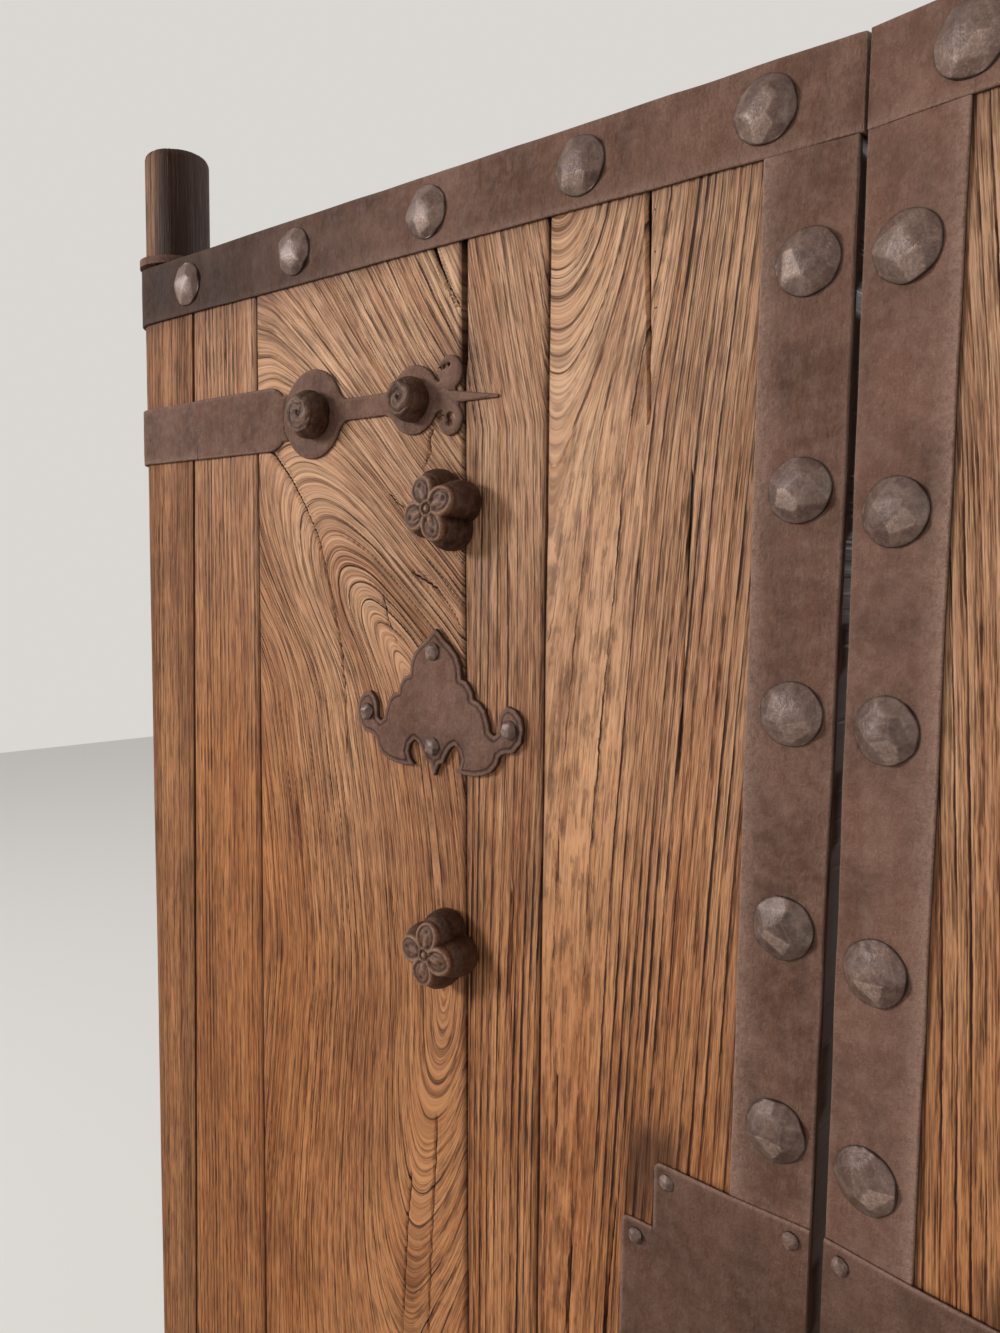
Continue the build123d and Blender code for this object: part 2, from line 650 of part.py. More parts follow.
def make_post(side):
    """Post behind the pivot, tenoned into the threshold and bored for wall anchors."""
    with BuildPart() as post:
        with BuildSketch(Plane.XY.offset(THRESHOLD_HEIGHT)):
            with Locations((side * POST_X, POST_Y)):
                Rectangle(POST_WIDTH, POST_DEPTH)
        extrude(amount=POST_HEAD - THRESHOLD_HEIGHT)
        chamfer(post.edges().filter_by(Axis.Z), POST_CHAMFER)
        with BuildSketch(Plane.XY.offset(THRESHOLD_HEIGHT)):
            with Locations((side * POST_X, POST_Y)):
                Rectangle(POST_TENON[0], POST_TENON[1])
        extrude(amount=-POST_TENON[2])
        with BuildSketch(Plane.YZ.offset(side * POST_X)):
            with Locations(*[(POST_Y, z) for z in ANCHOR_HEIGHTS]):
                Circle(ANCHOR_RADIUS)
        extrude(amount=POST_WIDTH, both=True, mode=Mode.SUBTRACT)
        add(keeper_spikes(side, SHANK_CLEARANCE), mode=Mode.SUBTRACT)
        add(peg_bars(PEG_CLEARANCE), mode=Mode.SUBTRACT)
    return post.part


def keeper_spikes(side, slack=0.0):
    """Square shanks of the two spikes that go through a keeper into its post."""
    plane = Plane.XY.offset(POST_HEAD + KEEPER_THICKNESS)
    points = keeper_spike_points(side)
    return square_pins(plane, points, SPIKE_WIDTH + 2 * slack, SPIKE_LENGTH + slack)


def keeper_spike_points(side):
    return [(side * POST_X, POST_Y + s * KEEPER_SPIKE_PITCH / 2) for s in (1, -1)]


def make_keepers():
    """Iron eyes round the pivots' heads, their tails spiked down on the posts."""
    with BuildPart() as keepers:
        for side in (-1, 1):
            with BuildSketch(Plane.XY.offset(POST_HEAD)):
                with Locations((side * AXIS_X, AXIS_Y)):
                    Circle(CUP_BORE + KEEPER_WALL)
                with Locations((side * POST_X, POST_Y)):
                    Circle(KEEPER_PAD)
                make_hull()
                with Locations((side * AXIS_X, AXIS_Y)):
                    Circle(CUP_BORE, mode=Mode.SUBTRACT)
            extrude(amount=KEEPER_THICKNESS)
            add(keeper_spikes(side, SHANK_CLEARANCE), mode=Mode.SUBTRACT)
    return keepers.part


def make_keeper_spikes():
    """Square-headed spikes that hold both keepers."""
    with BuildPart() as spikes:
        with BuildSketch(Plane.XY.offset(POST_HEAD + KEEPER_THICKNESS)):
            for side in (-1, 1):
                with Locations(*keeper_spike_points(side)):
                    Rectangle(SPIKE_HEAD, SPIKE_HEAD)
        extrude(amount=SPIKE_HEAD_HEIGHT)
        add([keeper_spikes(-1), keeper_spikes(1)])
    return spikes.part


def make_cups():
    """Iron cups let into the threshold, in which the pivots' feet turn."""
    points = [(-AXIS_X, AXIS_Y), (AXIS_X, AXIS_Y)]
    with BuildPart() as cups:
        with BuildSketch(Plane.XY.offset(CUP_FLOOR - CUP_WALL)):
            with Locations(*points):
                Circle(CUP_BORE + CUP_WALL)
        extrude(amount=CUP_WALL + CUP_DEPTH + CUP_RIM)
        with BuildSketch(Plane.XY.offset(CUP_FLOOR)):
            with Locations(*points):
                Circle(CUP_BORE)
        extrude(amount=CUP_DEPTH + CUP_RIM, mode=Mode.SUBTRACT)
    return cups.part


def save(node, piece):
    piece.label = node
    export_step(piece, f"parts/{node}.step")


def main():
    os.makedirs("parts", exist_ok=True)
    save("threshold", make_threshold())
    save("post_pegs", peg_bars())
    save("pivot_cups", make_cups())
    save("pivot_keepers", make_keepers())
    save("keeper_spikes", make_keeper_spikes())
    save("left_gate_post", make_post(-1))
    save("right_gate_post", make_post(1))
    left = make_leaf(LEFT_STUD_HEIGHTS, STRAP_FOLD)
    for node, piece in left.items():
        save(f"left_{node}", Location((-AXIS_X, AXIS_Y, 0), (0, 0, AJAR)) * piece)
    right = make_leaf(RIGHT_STUD_HEIGHTS, 0)
    for node, piece in right.items():
        mirrored = mirror(piece, about=Plane.YZ)
        save(f"right_{node}", Location((AXIS_X, AXIS_Y, 0), (0, 0, -AJAR)) * mirrored)


main()
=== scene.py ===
import math

import bmesh
import bpy
import numpy as np
from mathutils import Matrix, Vector


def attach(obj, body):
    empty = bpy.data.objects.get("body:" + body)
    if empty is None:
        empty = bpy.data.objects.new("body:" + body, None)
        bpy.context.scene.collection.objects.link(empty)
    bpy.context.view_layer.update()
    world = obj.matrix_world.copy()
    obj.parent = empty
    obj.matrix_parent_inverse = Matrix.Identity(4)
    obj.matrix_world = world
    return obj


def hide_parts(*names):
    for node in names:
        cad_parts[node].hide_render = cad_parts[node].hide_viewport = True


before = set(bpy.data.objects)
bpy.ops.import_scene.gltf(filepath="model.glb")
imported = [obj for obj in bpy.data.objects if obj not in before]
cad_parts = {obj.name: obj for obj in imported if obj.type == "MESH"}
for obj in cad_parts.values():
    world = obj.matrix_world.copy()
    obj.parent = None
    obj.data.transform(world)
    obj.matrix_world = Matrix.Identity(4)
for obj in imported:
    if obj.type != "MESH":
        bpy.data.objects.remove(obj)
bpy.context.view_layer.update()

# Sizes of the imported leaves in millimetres, in a leaf's own frame: x from the pivot axis
# toward the meeting edge, z from the ground, the studded face at y = -HALF.
AXIS_X = 982.5
AXIS_Y = 45.0
AJAR = 5.0
HALF = 45.0
REACH = 979.0
FOOT = 66.0
HEAD = 2013.0
JOINTS = ((62.0, 100.0), (232.0, 232.0), (602.0, 572.0), (689.0, 681.0), (REACH, REACH))
BOARD_JOINT = 2.5
BOARD_LAP = 12.0
SEAT = 0.2
STRAP = 75.0
STRAP_IRON = 4.0
STRAP_RETURN = 92.0
MEETING_STRAP = 78.5
HINGE = 76.0
HINGE_IRON = 5.0
HINGE_BAND = 112.0
HINGE_AT = {"upper": 1786.5, "lower": 292.5}
DISC = ((341.0, 51.5), (506.0, 36.5))
KNOB_X = 557.0
KNOB_Z = (1668, 1203, 686, 411)
KNOB_TURNS = (22, -8, 14, 40)
STUD_X = (95, 312, 526, 720, 902)
STUD_COLUMN = 942.0
# Radius and depth of the three sorts of heads.
STUD_SIZE = (27.5, 11.0)
PLATE_RIVET_SIZE = (8.0, 6.0)
ORNAMENT_RIVET_SIZE = (10.2, 7.5)
STUD_Z = {
    "left": (1784, 1606, 1425, 1245, 1068, 634, 456, 279, 124),
    "right": (1779, 1586, 1420, 1229, 1059, 630, 449, 286, 120),
}
ORNAMENT = (542.0, 1460.0)
ORNAMENT_HEIGHT = 6.4
ORNAMENT_LINE = 5.2
ORNAMENT_RIVETS = ((-2.0, 60.0), (-103.0, -13.5), (104.5, -13.5), (-1.0, -42.0))
PLATE_Z = 920.0
PLATE_HALF = 140.0
PLATE_LEFT = 823.0
PLATE_IRON = 3.0
PLATE_CORNER = 8.0
WING_HALF = 75.0
WING_LEFT = 789.0
PIVOT_RADIUS = 43.0
PIVOT_TOP = 2171.0
PIVOT_FOOT = 26.0
# The photo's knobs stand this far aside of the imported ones, with this radius and depth.
KNOB_SHOWN = (7.0, 44.2, 44.5)
# The same for the bosses on a hinge strap: x, drop, radius, depth, turn and waist.
BOSSES = ((350, 2.5, 28.0, 30.5, 0.5, 0.24), (510, 1.0, 24.0, 28.0, 1.1, 0.16))
# Wear of the meeting edges at full depth, and the heights where it starts and is full.
WORN = {"left": 3.8, "right": 2.6}
WORN_HEIGHTS = (1720.0, 1080.0)
# The joint between boards 2 and 3 stands open above this height.
OPEN_JOINT = (2.8, 1802.0, 1826.0)
# How fine the mesh of a head is, first for one that the photo doesn't show.
STUD_GRIDS = ((13, 48), (22, 72))
KNOB_GRIDS = ((80, 40), (176, 84))
BOSS_GRIDS = ((64, 32), (108, 54))


# ---- numbers ----
def smooth(t, low, high):
    t = np.clip((t - low) / (high - low), 0, 1)
    return t * t * (3 - 2 * t)


def peak(t, wide):
    """Bell of height 1 where t is 0."""
    return np.exp(-((t / wide) ** 2))


def bump(x, z, at_x, at_z, wide, high):
    return np.exp(-(((x - at_x) / wide) ** 2) - ((z - at_z) / high) ** 2)


LATTICES = {}


def noise(x, y, seed):
    """Smooth noise from 0 to 1 over unit cells."""
    if seed not in LATTICES:
        LATTICES[seed] = np.random.default_rng(seed).random((256, 256))
    table = LATTICES[seed]
    x, y = np.broadcast_arrays(np.asarray(x, float), np.asarray(y, float))
    i, j = np.floor(x).astype(int), np.floor(y).astype(int)
    u, v = smooth(x - i, 0, 1), smooth(y - j, 0, 1)
    low, high = (table[i % 256, row % 256] * (1 - u) + table[(i + 1) % 256, row % 256] * u
                 for row in (j, j + 1))
    return low * (1 - v) + high * v


def segment_distance(x, z, a, b):
    """Distance to the line from a to b, and where on it the nearest point lies, 0 to 1."""
    dx, dz = b[0] - a[0], b[1] - a[1]
    t = np.clip(((x - a[0]) * dx + (z - a[1]) * dz) / (dx * dx + dz * dz), 0, 1)
    return np.hypot(x - a[0] - t * dx, z - a[1] - t * dz), t


def polyline_distance(x, z, points):
    """Distance to a polyline, negative on its left, and how far along it that point lies."""
    best, along, way = (np.full(x.shape, value) for value in (1e9, 0.0, 1.0))
    for k, (a, b) in enumerate(zip(points, points[1:])):
        far, t = segment_distance(x, z, a, b)
        nearer = far < best
        along = np.where(nearer, (k + t) / (len(points) - 1), along)
        beside = np.sign((x - a[0]) * (b[1] - a[1]) - (z - a[1]) * (b[0] - a[0]))
        way = np.where(nearer, beside, way)
        best = np.minimum(best, far)
    return best * way, along


# ---- meshes ----
def to_frame(points, side):
    """Leaf millimetres to the shared frame's metres."""
    way = -1.0 if side == "left" else 1.0
    turn = -math.radians(AJAR) * way
    x, y, z = -way * points[:, 0], points[:, 1], points[:, 2]
    shared_x = x * math.cos(turn) - y * math.sin(turn) + way * AXIS_X
    shared_y = x * math.sin(turn) + y * math.cos(turn) + AXIS_Y
    return np.stack([shared_x, shared_y, z], 1) * 0.001


def worn_gap(side, z):
    """How far the meeting edge is worn back; the gap between the leaves opens downward."""
    start, full = WORN_HEIGHTS
    return WORN[side] * np.clip((start - z) / (start - full), 0, 1)


def placed(name, data):
    """New object in the scene."""
    made = bpy.data.objects.new(name, data)
    bpy.context.scene.collection.objects.link(made)
    return made


class Form:
    """Collects vertices, faces and per-vertex values of one piece."""

    def __init__(self, *names):
        self.points, self.faces, self.count = [], [], 0
        self.values = {name: [] for name in names}

    def add(self, points, faces, **values):
        points = np.asarray(points, float).reshape(-1, 3)
        self.faces += [[i + self.count for i in face] for face in faces]
        self.points.append(points)
        for name, kept in self.values.items():
            kept.append(np.zeros(len(points)) + np.ravel(values.get(name, 0.0)))
        self.count += len(points)

    def tube(self, rings, **values):
        """Closed loops of points, one after the other, with flat ends."""
        rows, loop = rings.shape[:2]
        k = np.arange(loop)
        base = np.arange(rows - 1)[:, None] * loop
        quads = np.stack([base + k, base + (k + 1) % loop,
                          base + loop + (k + 1) % loop, base + loop + k], -1)
        faces = quads.reshape(-1, 4).tolist()
        faces += [k[::-1].tolist(), (k + (rows - 1) * loop).tolist()]
        self.add(rings, faces, **values)

    def piece(self, side, node, ending, slot, material, angle):
        """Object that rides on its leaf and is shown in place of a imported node."""
        node = f"{side}_{node}"
        name = f"{node}_{ending}"
        points = np.concatenate(self.points)
        mesh = bpy.data.meshes.new(name)
        mesh.from_pydata(to_frame(points, side).tolist(), [], self.faces)
        for key, kept in self.values.items():
            layer = mesh.attributes.new(key, "FLOAT", "POINT")
            layer.data.foreach_set("value", np.concatenate(kept).astype(np.float32))
        work = bmesh.new()
        work.from_mesh(mesh)
        bmesh.ops.recalc_face_normals(work, faces=work.faces)
        work.to_mesh(mesh)
        work.free()
        mesh.shade_smooth()
        mesh.set_sharp_from_angle(angle=math.radians(angle))
        mesh.materials.append(material)
        piece = placed(name, mesh)
        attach(piece, f"{side}_leaf")
        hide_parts(node)


def spaced(low, high, step):
    return np.linspace(low, high, max(2, int(round((high - low) / step)) + 1))


# ---- grain ----
WOOD = ("phase", "rate", "lines", "stain_and_shade", "warmth_and_falloff", "crack", "gape")
# Cracks as points in leaf millimetres with the widest half width and the depth.
CRACKS = {
    "board_2": (
        (((252, 1752), (266, 1745), (298, 1713), (321, 1683), (347, 1643), (358, 1613),
          (373, 1565), (387, 1517), (394, 1459), (398, 1380)), 1.7, 5.0),
        (((529, 1946), (538, 1925), (550, 1900), (569, 1872)), 2.6, 8.0),
        (((532, 1756), (526, 1742), (529, 1732), (519, 1716)), 1.6, 5.0),
        (((466, 1690), (480, 1678), (498, 1672)), 1.3, 3.0),
        (((502, 1604), (539, 1587), (567, 1557), (580, 1527)), 1.4, 4.0),
        (((456, 1578), (466, 1548), (482, 1520)), 1.3, 3.0),
        (((545, 1010), (541, 930), (536, 840), (531, 700), (528, 560)), 1.2, 4.0),
        (((506, 925), (499, 860), (495, 780), (490, 690)), 1.1, 4.0),
    ),
    "board_4": (
        (((790, 1948), (792, 1880), (795, 1800), (797, 1738)), 2.6, 12.0),
        (((841, 1700), (838, 1560), (836, 1420)), 1.2, 4.0),
        (((707, 1110), (708, 1067), (706, 1010)), 1.2, 4.0),
        (((704, 1352), (705, 1293)), 1.2, 3.0),
        (((729, 940), (727, 860), (725, 760)), 1.2, 4.0),
        (((781, 1010), (774, 920), (768, 800)), 1.2, 4.0),
    ),
    "board_1": ((((172, 1945), (170, 1880), (171, 1850)), 1.1, 3.0),),
    "board_3": ((((648, 1290), (646, 1180), (649, 1110)), 1.2, 4.0),),
}
# Ring spacing in millimetres and strength of the dark lines.
RINGS = {"pivot_stile": (9.0, 0.75), "board_1": (9.0, 0.8), "board_2": (11.5, 1.1),
         "board_3": (9.5, 1.15), "board_4": (10.0, 1.35)}
# Where a board's surface passes the heart of the tree: height, side and depth of the heart.
HEARTS = {
    "board_2": ((66, 470, 150), (500, 480, 135), (760, 495, 96), (997, 537, 42), (1130, 556, 6),
                (1300, 540, 3), (1490, 505, 2), (1560, 446, 38), (1640, 380, 82), (1740, 305, 130),
                (1850, 240, 172), (2013, 170, 215)),
    "board_4": ((66, 600, 60), (900, 640, 80), (1330, 664, 90), (1500, 676, 92), (1713, 690, 89),
                (1788, 695, 82), (1877, 695, 57), (1950, 695, 20), (2013, 695, 5)),
}

# Where a board's rings swing aside: place, reach across and along, millimetres.
SWINGS = {"board_1": ((196, 1500, 16, 130, -11), (150, 1180, 18, 170, 9)),
          "board_3": ((660, 1500, 50, 260, -9),)}
# Dark patches: place, reach across and along, strength.
STAINS = ((826, 1066, 22, 26, 1.5), (806, 1026, 16, 42, 1.5), (560, 1800, 50, 50, 0.7))


def rings_of(name, x, z):
    """A value that is the same all along a growth ring, in millimetres."""
    drift = 8 * (noise(x / 130, z / 800, 11) - 0.5) + 2.0 * (noise(x / 34, z / 260, 12) - 0.5)
    if name in HEARTS:
        heights, sides, depths = np.array(HEARTS[name], float).T
        aside, deep = (sum(np.interp(z + k, heights, way) for k in (-40, -20, 0, 20, 40)) / 5
                       for way in (sides, depths))
        return np.hypot(x - aside, deep + 1.5) + drift
    if name == "board_3":
        drift = drift + 0.22 * np.maximum(z - 1750, 0)
    for *spot, aside in SWINGS.get(name, ()):
        drift = drift + aside * bump(x, z, *spot)
    return x + drift


def seed_of(name):
    return 20 + len(name) + ord(name[-1])


def phase_of(name, x, z):
    """Number of the ring, which grows evenly from one ring to the next."""
    ring, seed = rings_of(name, x, z), seed_of(name)
    return ring / RINGS[name][0] + 2.0 * noise(ring / 47, 0 * z + seed, seed)


def grain(name, x, z):
    """Values of the wood at leaf points, for the mesh and its material: phase counts rings,
    rate is its change per millimetre, gape is the half width of the crack that is near."""
    seed = seed_of(name)
    phase = phase_of(name, x, z)
    rate = np.hypot(phase_of(name, x + 1, z) - phase, (phase_of(name, x, z + 3) - phase) / 3)
    rate = np.maximum(rate, 0.012)
    number, far = np.floor(phase), (phase % 1.0) / rate
    lines = RINGS[name][1] * (0.12 + smooth(noise(number * 0.61, z / 380, seed + 1), 0.2, 0.8))
    if name == "board_4":
        lines = lines * (0.6 + 0.5 * smooth(x, 725, 790))
        lines = lines * (1 - 0.3 * smooth(775 - x, 0, 50) * smooth(1400 - z, 0, 90))
    if name == "board_2":
        lines = lines * (0.55 + 0.6 * smooth(noise(x / 60, z / 120, seed + 7), 0.3, 0.7))
        lines = lines * (1 - 0.5 * bump(x, z, 330, 1840, 90, 110))
    depth = 1.5 * peak(far - 1.2, 1.7) * np.minimum(lines, 1)
    depth = depth + 0.8 * noise(x / 60, z / 260, seed + 3)
    crack, gape = np.full(x.shape, 9.0), np.zeros(x.shape)
    for points, half, deep in CRACKS.get(name, ()):
        off, along = polyline_distance(x, z, points)
        width = half * np.clip(1.15 - along, 0.4, 1) * smooth(along, 0, 0.06)
        width = width * smooth(1 - along, 0, 0.06)
        depth = depth + deep * np.clip(1 - abs(off) / np.maximum(width + 0.6, 0.6), 0, 1) ** 0.7
        near = abs(off) < 7
        crack, gape = np.where(near, off, crack), np.where(near, width, gape)
    stain_and_shade = 0.2 * noise(x / 120, z / 330, seed + 4) + 0.14 * noise(x / 24, z / 120, seed + 5)
    # Painted shade: a dark line along the top strap's lower edge.
    stain_and_shade = stain_and_shade + 0.6 * np.exp(-np.abs(z - HEAD + STRAP) / 12)
    # Painted shade: the wood darkens toward the meeting strap and the meeting edge, which stand in
    # shadow.
    stain_and_shade = stain_and_shade + 0.5 * np.exp((x - (REACH - MEETING_STRAP)) / 12)
    for *spot, strength in STAINS:
        stain_and_shade = stain_and_shade + strength * bump(x, z, *spot)
    # Partly the wood's warmer tone and partly painted falloff of light: the wood is made warmer
    # and darker toward the foot and the pivot side.
    warmth_and_falloff = np.clip(smooth(-z, -1850, -1050) * 0.85 + 0.45 * smooth(-x, -420, -150), 0, 1)
    return {"phase": phase, "rate": rate, "lines": np.clip(lines, 0, 1.2), "depth": depth,
            "stain_and_shade": np.clip(stain_and_shade, 0, 1.3), "warmth_and_falloff": warmth_and_falloff, "crack": crack, "gape": gape}


def board_rows(side, name):
    if side == "right" or name != "board_2":
        return spaced(FOOT, HEAD, 12.0)
    parts = [spaced(FOOT, 740, 16.0), spaced(740, 1130, 4.5), spaced(1130, 1400, 9.0),
             spaced(1400, 1950, 4.0), spaced(1950, HEAD, 12.0)]
    return np.unique(np.concatenate(parts))


def board_columns(width, step, crack):
    """Distances from the board's left edge, closer at the edges and at its upright crack."""
    edge = np.array([0, 0.7, 1.8])
    parts = [spaced(4, width - 4, step), edge, width - edge]
    if crack:
        parts.append(np.arange(crack - 6, crack + 6, 0.9))
    columns = np.unique(np.concatenate(parts).round(2))
    keep = np.concatenate([[True], np.diff(columns) > 0.45])
    return columns[keep]


def joint_at(index, rows):
    """Where a slanting joint lies at these heights."""
    low, high = JOINTS[index]
    return low + (high - low) * ((rows - FOOT) / (HEAD - FOOT))


def make_board(side, index, wood):
    name = f"board_{index}"
    last = index == 4
    rows = board_rows(side, name)
    start = joint_at(index - 1, rows) + BOARD_JOINT / 2
    end = joint_at(index, rows) - (0 if last else BOARD_JOINT / 2)
    if last:
        end = end - worn_gap(side, rows)
    shrunk = OPEN_JOINT[0] * smooth(rows, *OPEN_JOINT[1:])
    start = start + (shrunk if index == 3 else 0)
    end = end - (shrunk if index == 2 else 0)
    wide = float(np.mean(end - start))
    step = 1.8 if side == "left" else (3.0 if last else 4.0)
    columns = board_columns(wide, step, 107.0 if last else None) / wide
    x = start[:, None] + (end - start)[:, None] * columns
    z = np.repeat(rows[:, None], len(columns), 1)
    wood_at = grain(name, x, z)
    edge = np.minimum(x - start[:, None], end[:, None] - x)
    worn = 1.6 + 1.4 * noise(z / 90, x * 0 + index, 77)
    depth = wood_at.pop("depth") + worn * peak(edge, 1.7)
    front = np.stack([x, -HALF + depth, z], -1)
    lap_end = end - (0 if last else BOARD_LAP)

    def corner(at, y):
        return np.stack([at, np.full_like(at, y), rows], -1)[:, None]

    rest = np.concatenate([corner(end, -HALF / 2), corner(lap_end, -HALF / 2), corner(lap_end, 0),
                           corner(start - BOARD_LAP, 0), corner(start - BOARD_LAP, -HALF / 2),
                           corner(start, -HALF / 2)], 1)
    loops = np.concatenate([front, rest], 1)
    wood_at["stain_and_shade"] = wood_at["stain_and_shade"] + np.exp(-edge / 2.2) * 0.9
    back = grain(name, rest[..., 0], rest[..., 2])
    # Painted shade: the board's side faces in the joints and at the meeting edge are painted dark.
    back["stain_and_shade"] = back["stain_and_shade"] + 1.2 * (rest[..., 1] < -1)
    form = Form(*WOOD)
    form.tube(loops, **{key: np.concatenate([wood_at[key], back[key]], 1) for key in WOOD})
    form.piece(side, name, "grain", "board_wood", wood, 60)


# Direction and distance, as a share of the radius, of the flats hewn round a pivot.
HEWN = ((0.4, 1.0), (1.35, 0.99), (2.2, 0.985), (3.05, 1.0), (4.0, 0.98), (4.75, 0.985),
        (5.6, 0.99))


def make_stile(side, wood):
    """Squared post with a round outer edge, and its hewn round ends."""
    rows = spaced(FOOT, HEAD, 15.0)
    form = Form(*WOOD)
    front = 1 - spaced(0, 1, 0.028)
    turn = spaced(0.5 * math.pi, 1.5 * math.pi, 0.07)[1:]
    loops = []
    for at in joint_at(0, rows) - BOARD_JOINT / 2:
        loops.append([(at * f, -HALF) for f in front]
                     + [(HALF * math.cos(a), -HALF * math.sin(a)) for a in turn]
                     + [(x, HALF) for x in spaced(6, 110, 6)] + [(110, y) for y in (39, 20, 0)]
                     + [(at - BOARD_LAP, 0), (at - BOARD_LAP, -HALF / 2), (at, -HALF / 2)])
    flat = np.array(loops)
    along = np.cumsum(np.hypot(*np.diff(flat, axis=1, prepend=flat[:, :1]).transpose(2, 0, 1)), 1)
    z = np.repeat(rows[:, None], flat.shape[1], 1)
    wood_at = grain("pivot_stile", along + 300, z)
    # The front, the round edge and nearly all of the back are worked, and the lap isn't.
    worked = np.arange(flat.shape[1]) < len(front) + len(turn) + 16
    depth = np.clip(wood_at.pop("depth"), 0, 3) * worked
    wood_at["warmth_and_falloff"] = np.full(z.shape, 0.6)
    straight = -np.sign(flat[..., 1]) * (abs(flat[..., 1]) > HALF - 1)
    inward = np.stack([0 * straight, straight], -1)
    inward = np.where(flat[..., :1] < 0, -flat / HALF, inward)
    flat = flat + inward * depth[..., None]
    loops = np.concatenate([flat, z[..., None]], -1)
    form.tube(loops, **wood_at)
    turn = np.linspace(0, 2 * math.pi, 97)[:-1]
    for low, high, top in ((HEAD - 1, PIVOT_TOP, True), (PIVOT_FOOT, FOOT + 1, False)):
        z = spaced(low, high, 5.0)
        if top:
            z = np.concatenate([z[:-2], high - np.array([9, 5.5, 2.8, 1.0, 0.0])])
        a, h = np.meshgrid(turn, z)
        facets = np.min([PIVOT_RADIUS / np.maximum(np.cos(a - way), 0.05) * share
                         for way, share in HEWN], 0)
        radius = np.minimum(facets, PIVOT_RADIUS)
        wood_at = grain("pivot_stile", a * 44 + 300, h)
        depth = wood_at.pop("depth")
        radius = radius - np.clip(depth, 0, 2.6) * (1 if top else 0.3)
        if top:
            fall = np.clip((h - high + 11) / 11, 0, 1)
            radius = radius - 9 * (1 - np.sqrt(1 - 0.98 * fall ** 2))
            radius = radius - 2.0 * bump(a, h, 3.6, high - 40, 0.09, 60)
        loops = np.stack([radius * np.cos(a), radius * np.sin(a), h], -1)
        # Partly stain and partly painted shade: the hewn ends are darkened all round, least on the
        # side that faces the key light, so the sides turned from it carry painted shade.
        dark = 1.4 - 0.8 * smooth(np.cos(a - 3.9), 0.2, 0.7)
        wood_at["stain_and_shade"] = np.clip(wood_at["stain_and_shade"] + dark, 0, 1.6)
        form.tube(loops, **wood_at)
    form.piece(side, "pivot_stile", "hewn", "stile_wood", wood, 50)


# ---- flat iron ----
IRON = ("wear", "soot")


def backed(face, value):
    """Values of loops whose face is followed by two points on the wood, which all get the one
    value. Given full darkness, it paints the iron's sides near black as painted shade.
    """
    return np.concatenate([face, np.full((len(face), 2), value)], 1)


def hammered(u, v, seed, deep=0.45):
    """Shallow blows, as a depth in millimetres."""
    blows = noise(u / 22, v / 22, seed) * 0.9 + noise(u / 9, v / 9, seed + 1) * 0.5
    return deep * (blows + 0.1 * noise(u / 3.5, v / 3.5, seed + 2))


def strap_face(along, width, seed, cell, row, sway):
    """Grid over a strap, closer at its broken edges: places along and across it, distance
    from the edge, depth of the blows, and how far the edge wanders."""
    ends = np.array([0, 0.5, 1.2])
    across = np.unique(np.concatenate([spaced(2.2, width - 2.2, 5.0), ends, width - ends]))
    u, v = np.meshgrid(along, across, indexing="ij")
    edge = np.minimum(v, width - v)
    depth = hammered(u, v, seed) + 1.1 * np.clip(1 - edge / 1.2, 0, 1) ** 2
    wander = sway * noise(u / cell, 0 * v + row, seed + 5) * np.where(v < width / 2, 1, -1)
    return u, v, edge, depth, wander * peak(edge, 9)


def band(form, path, normal, foot, height, thickness, seed, outer_end=0.0):
    """Iron that follows a path of leaf points; normal points out of the iron's face and
    outer_end is how dark its end at the stile is."""
    path, normal = np.asarray(path, float), np.asarray(normal, float)
    along = np.cumsum(np.hypot(*np.diff(path, axis=0, prepend=path[:1]).T))
    _, v, edge, depth, wander = strap_face(along, height, seed, 55, 3, 0.9)
    z = foot + v + wander
    outer = path[:, None] + normal[:, None] * (thickness - depth)[..., None]
    loops = np.concatenate([outer, path[:, None], path[:, None]], 1)
    heights = np.concatenate([z, z[:, -1:], z[:, :1]], 1)
    loops = np.concatenate([loops, heights[..., None]], -1)
    wear = 0.45 * np.exp(-edge / 1.6) + 0.25 * peak(v, 9)
    # The end at the stile is painted darker, fading out along the front.
    soot = outer_end * (1 - smooth(path[:, :1], 60, 640)) + 0 * v
    # Painted shade: the band's sides are painted near black.
    form.tube(loops, wear=backed(wear, 0.0), soot=backed(soot, 1.0))


def wrap_path(reach, fold=0.0):
    """Path of a strap's inner side and its normals: the fold over the meeting edge, the
    front, the round edge and the back."""
    inner = HALF + SEAT
    xs = spaced(0, reach, 5.0)[::-1]
    path = [(x, -inner) for x in xs]
    normal = [(0, -1)] * len(xs)
    for a in spaced(0.5 * math.pi, 1.5 * math.pi, 0.1)[1:-1]:
        path.append((inner * math.cos(a), -inner * math.sin(a)))
        normal.append((math.cos(a), -math.sin(a)))
    xs = spaced(0, STRAP_RETURN, 8)
    path += [(x, inner) for x in xs]
    normal += [(0, 1)] * len(xs)
    if fold:
        edge = reach + SEAT
        head = [(edge, y) for y in (fold - inner, fold - inner - 8, fold / 2 - inner, 3 - inner)]
        head.append((edge - 0.6, 0.4 - inner))
        path = head + path[1:]
        normal = [(1, 0)] * 4 + [(0.8, -0.8)] + normal[1:]
    return path, normal


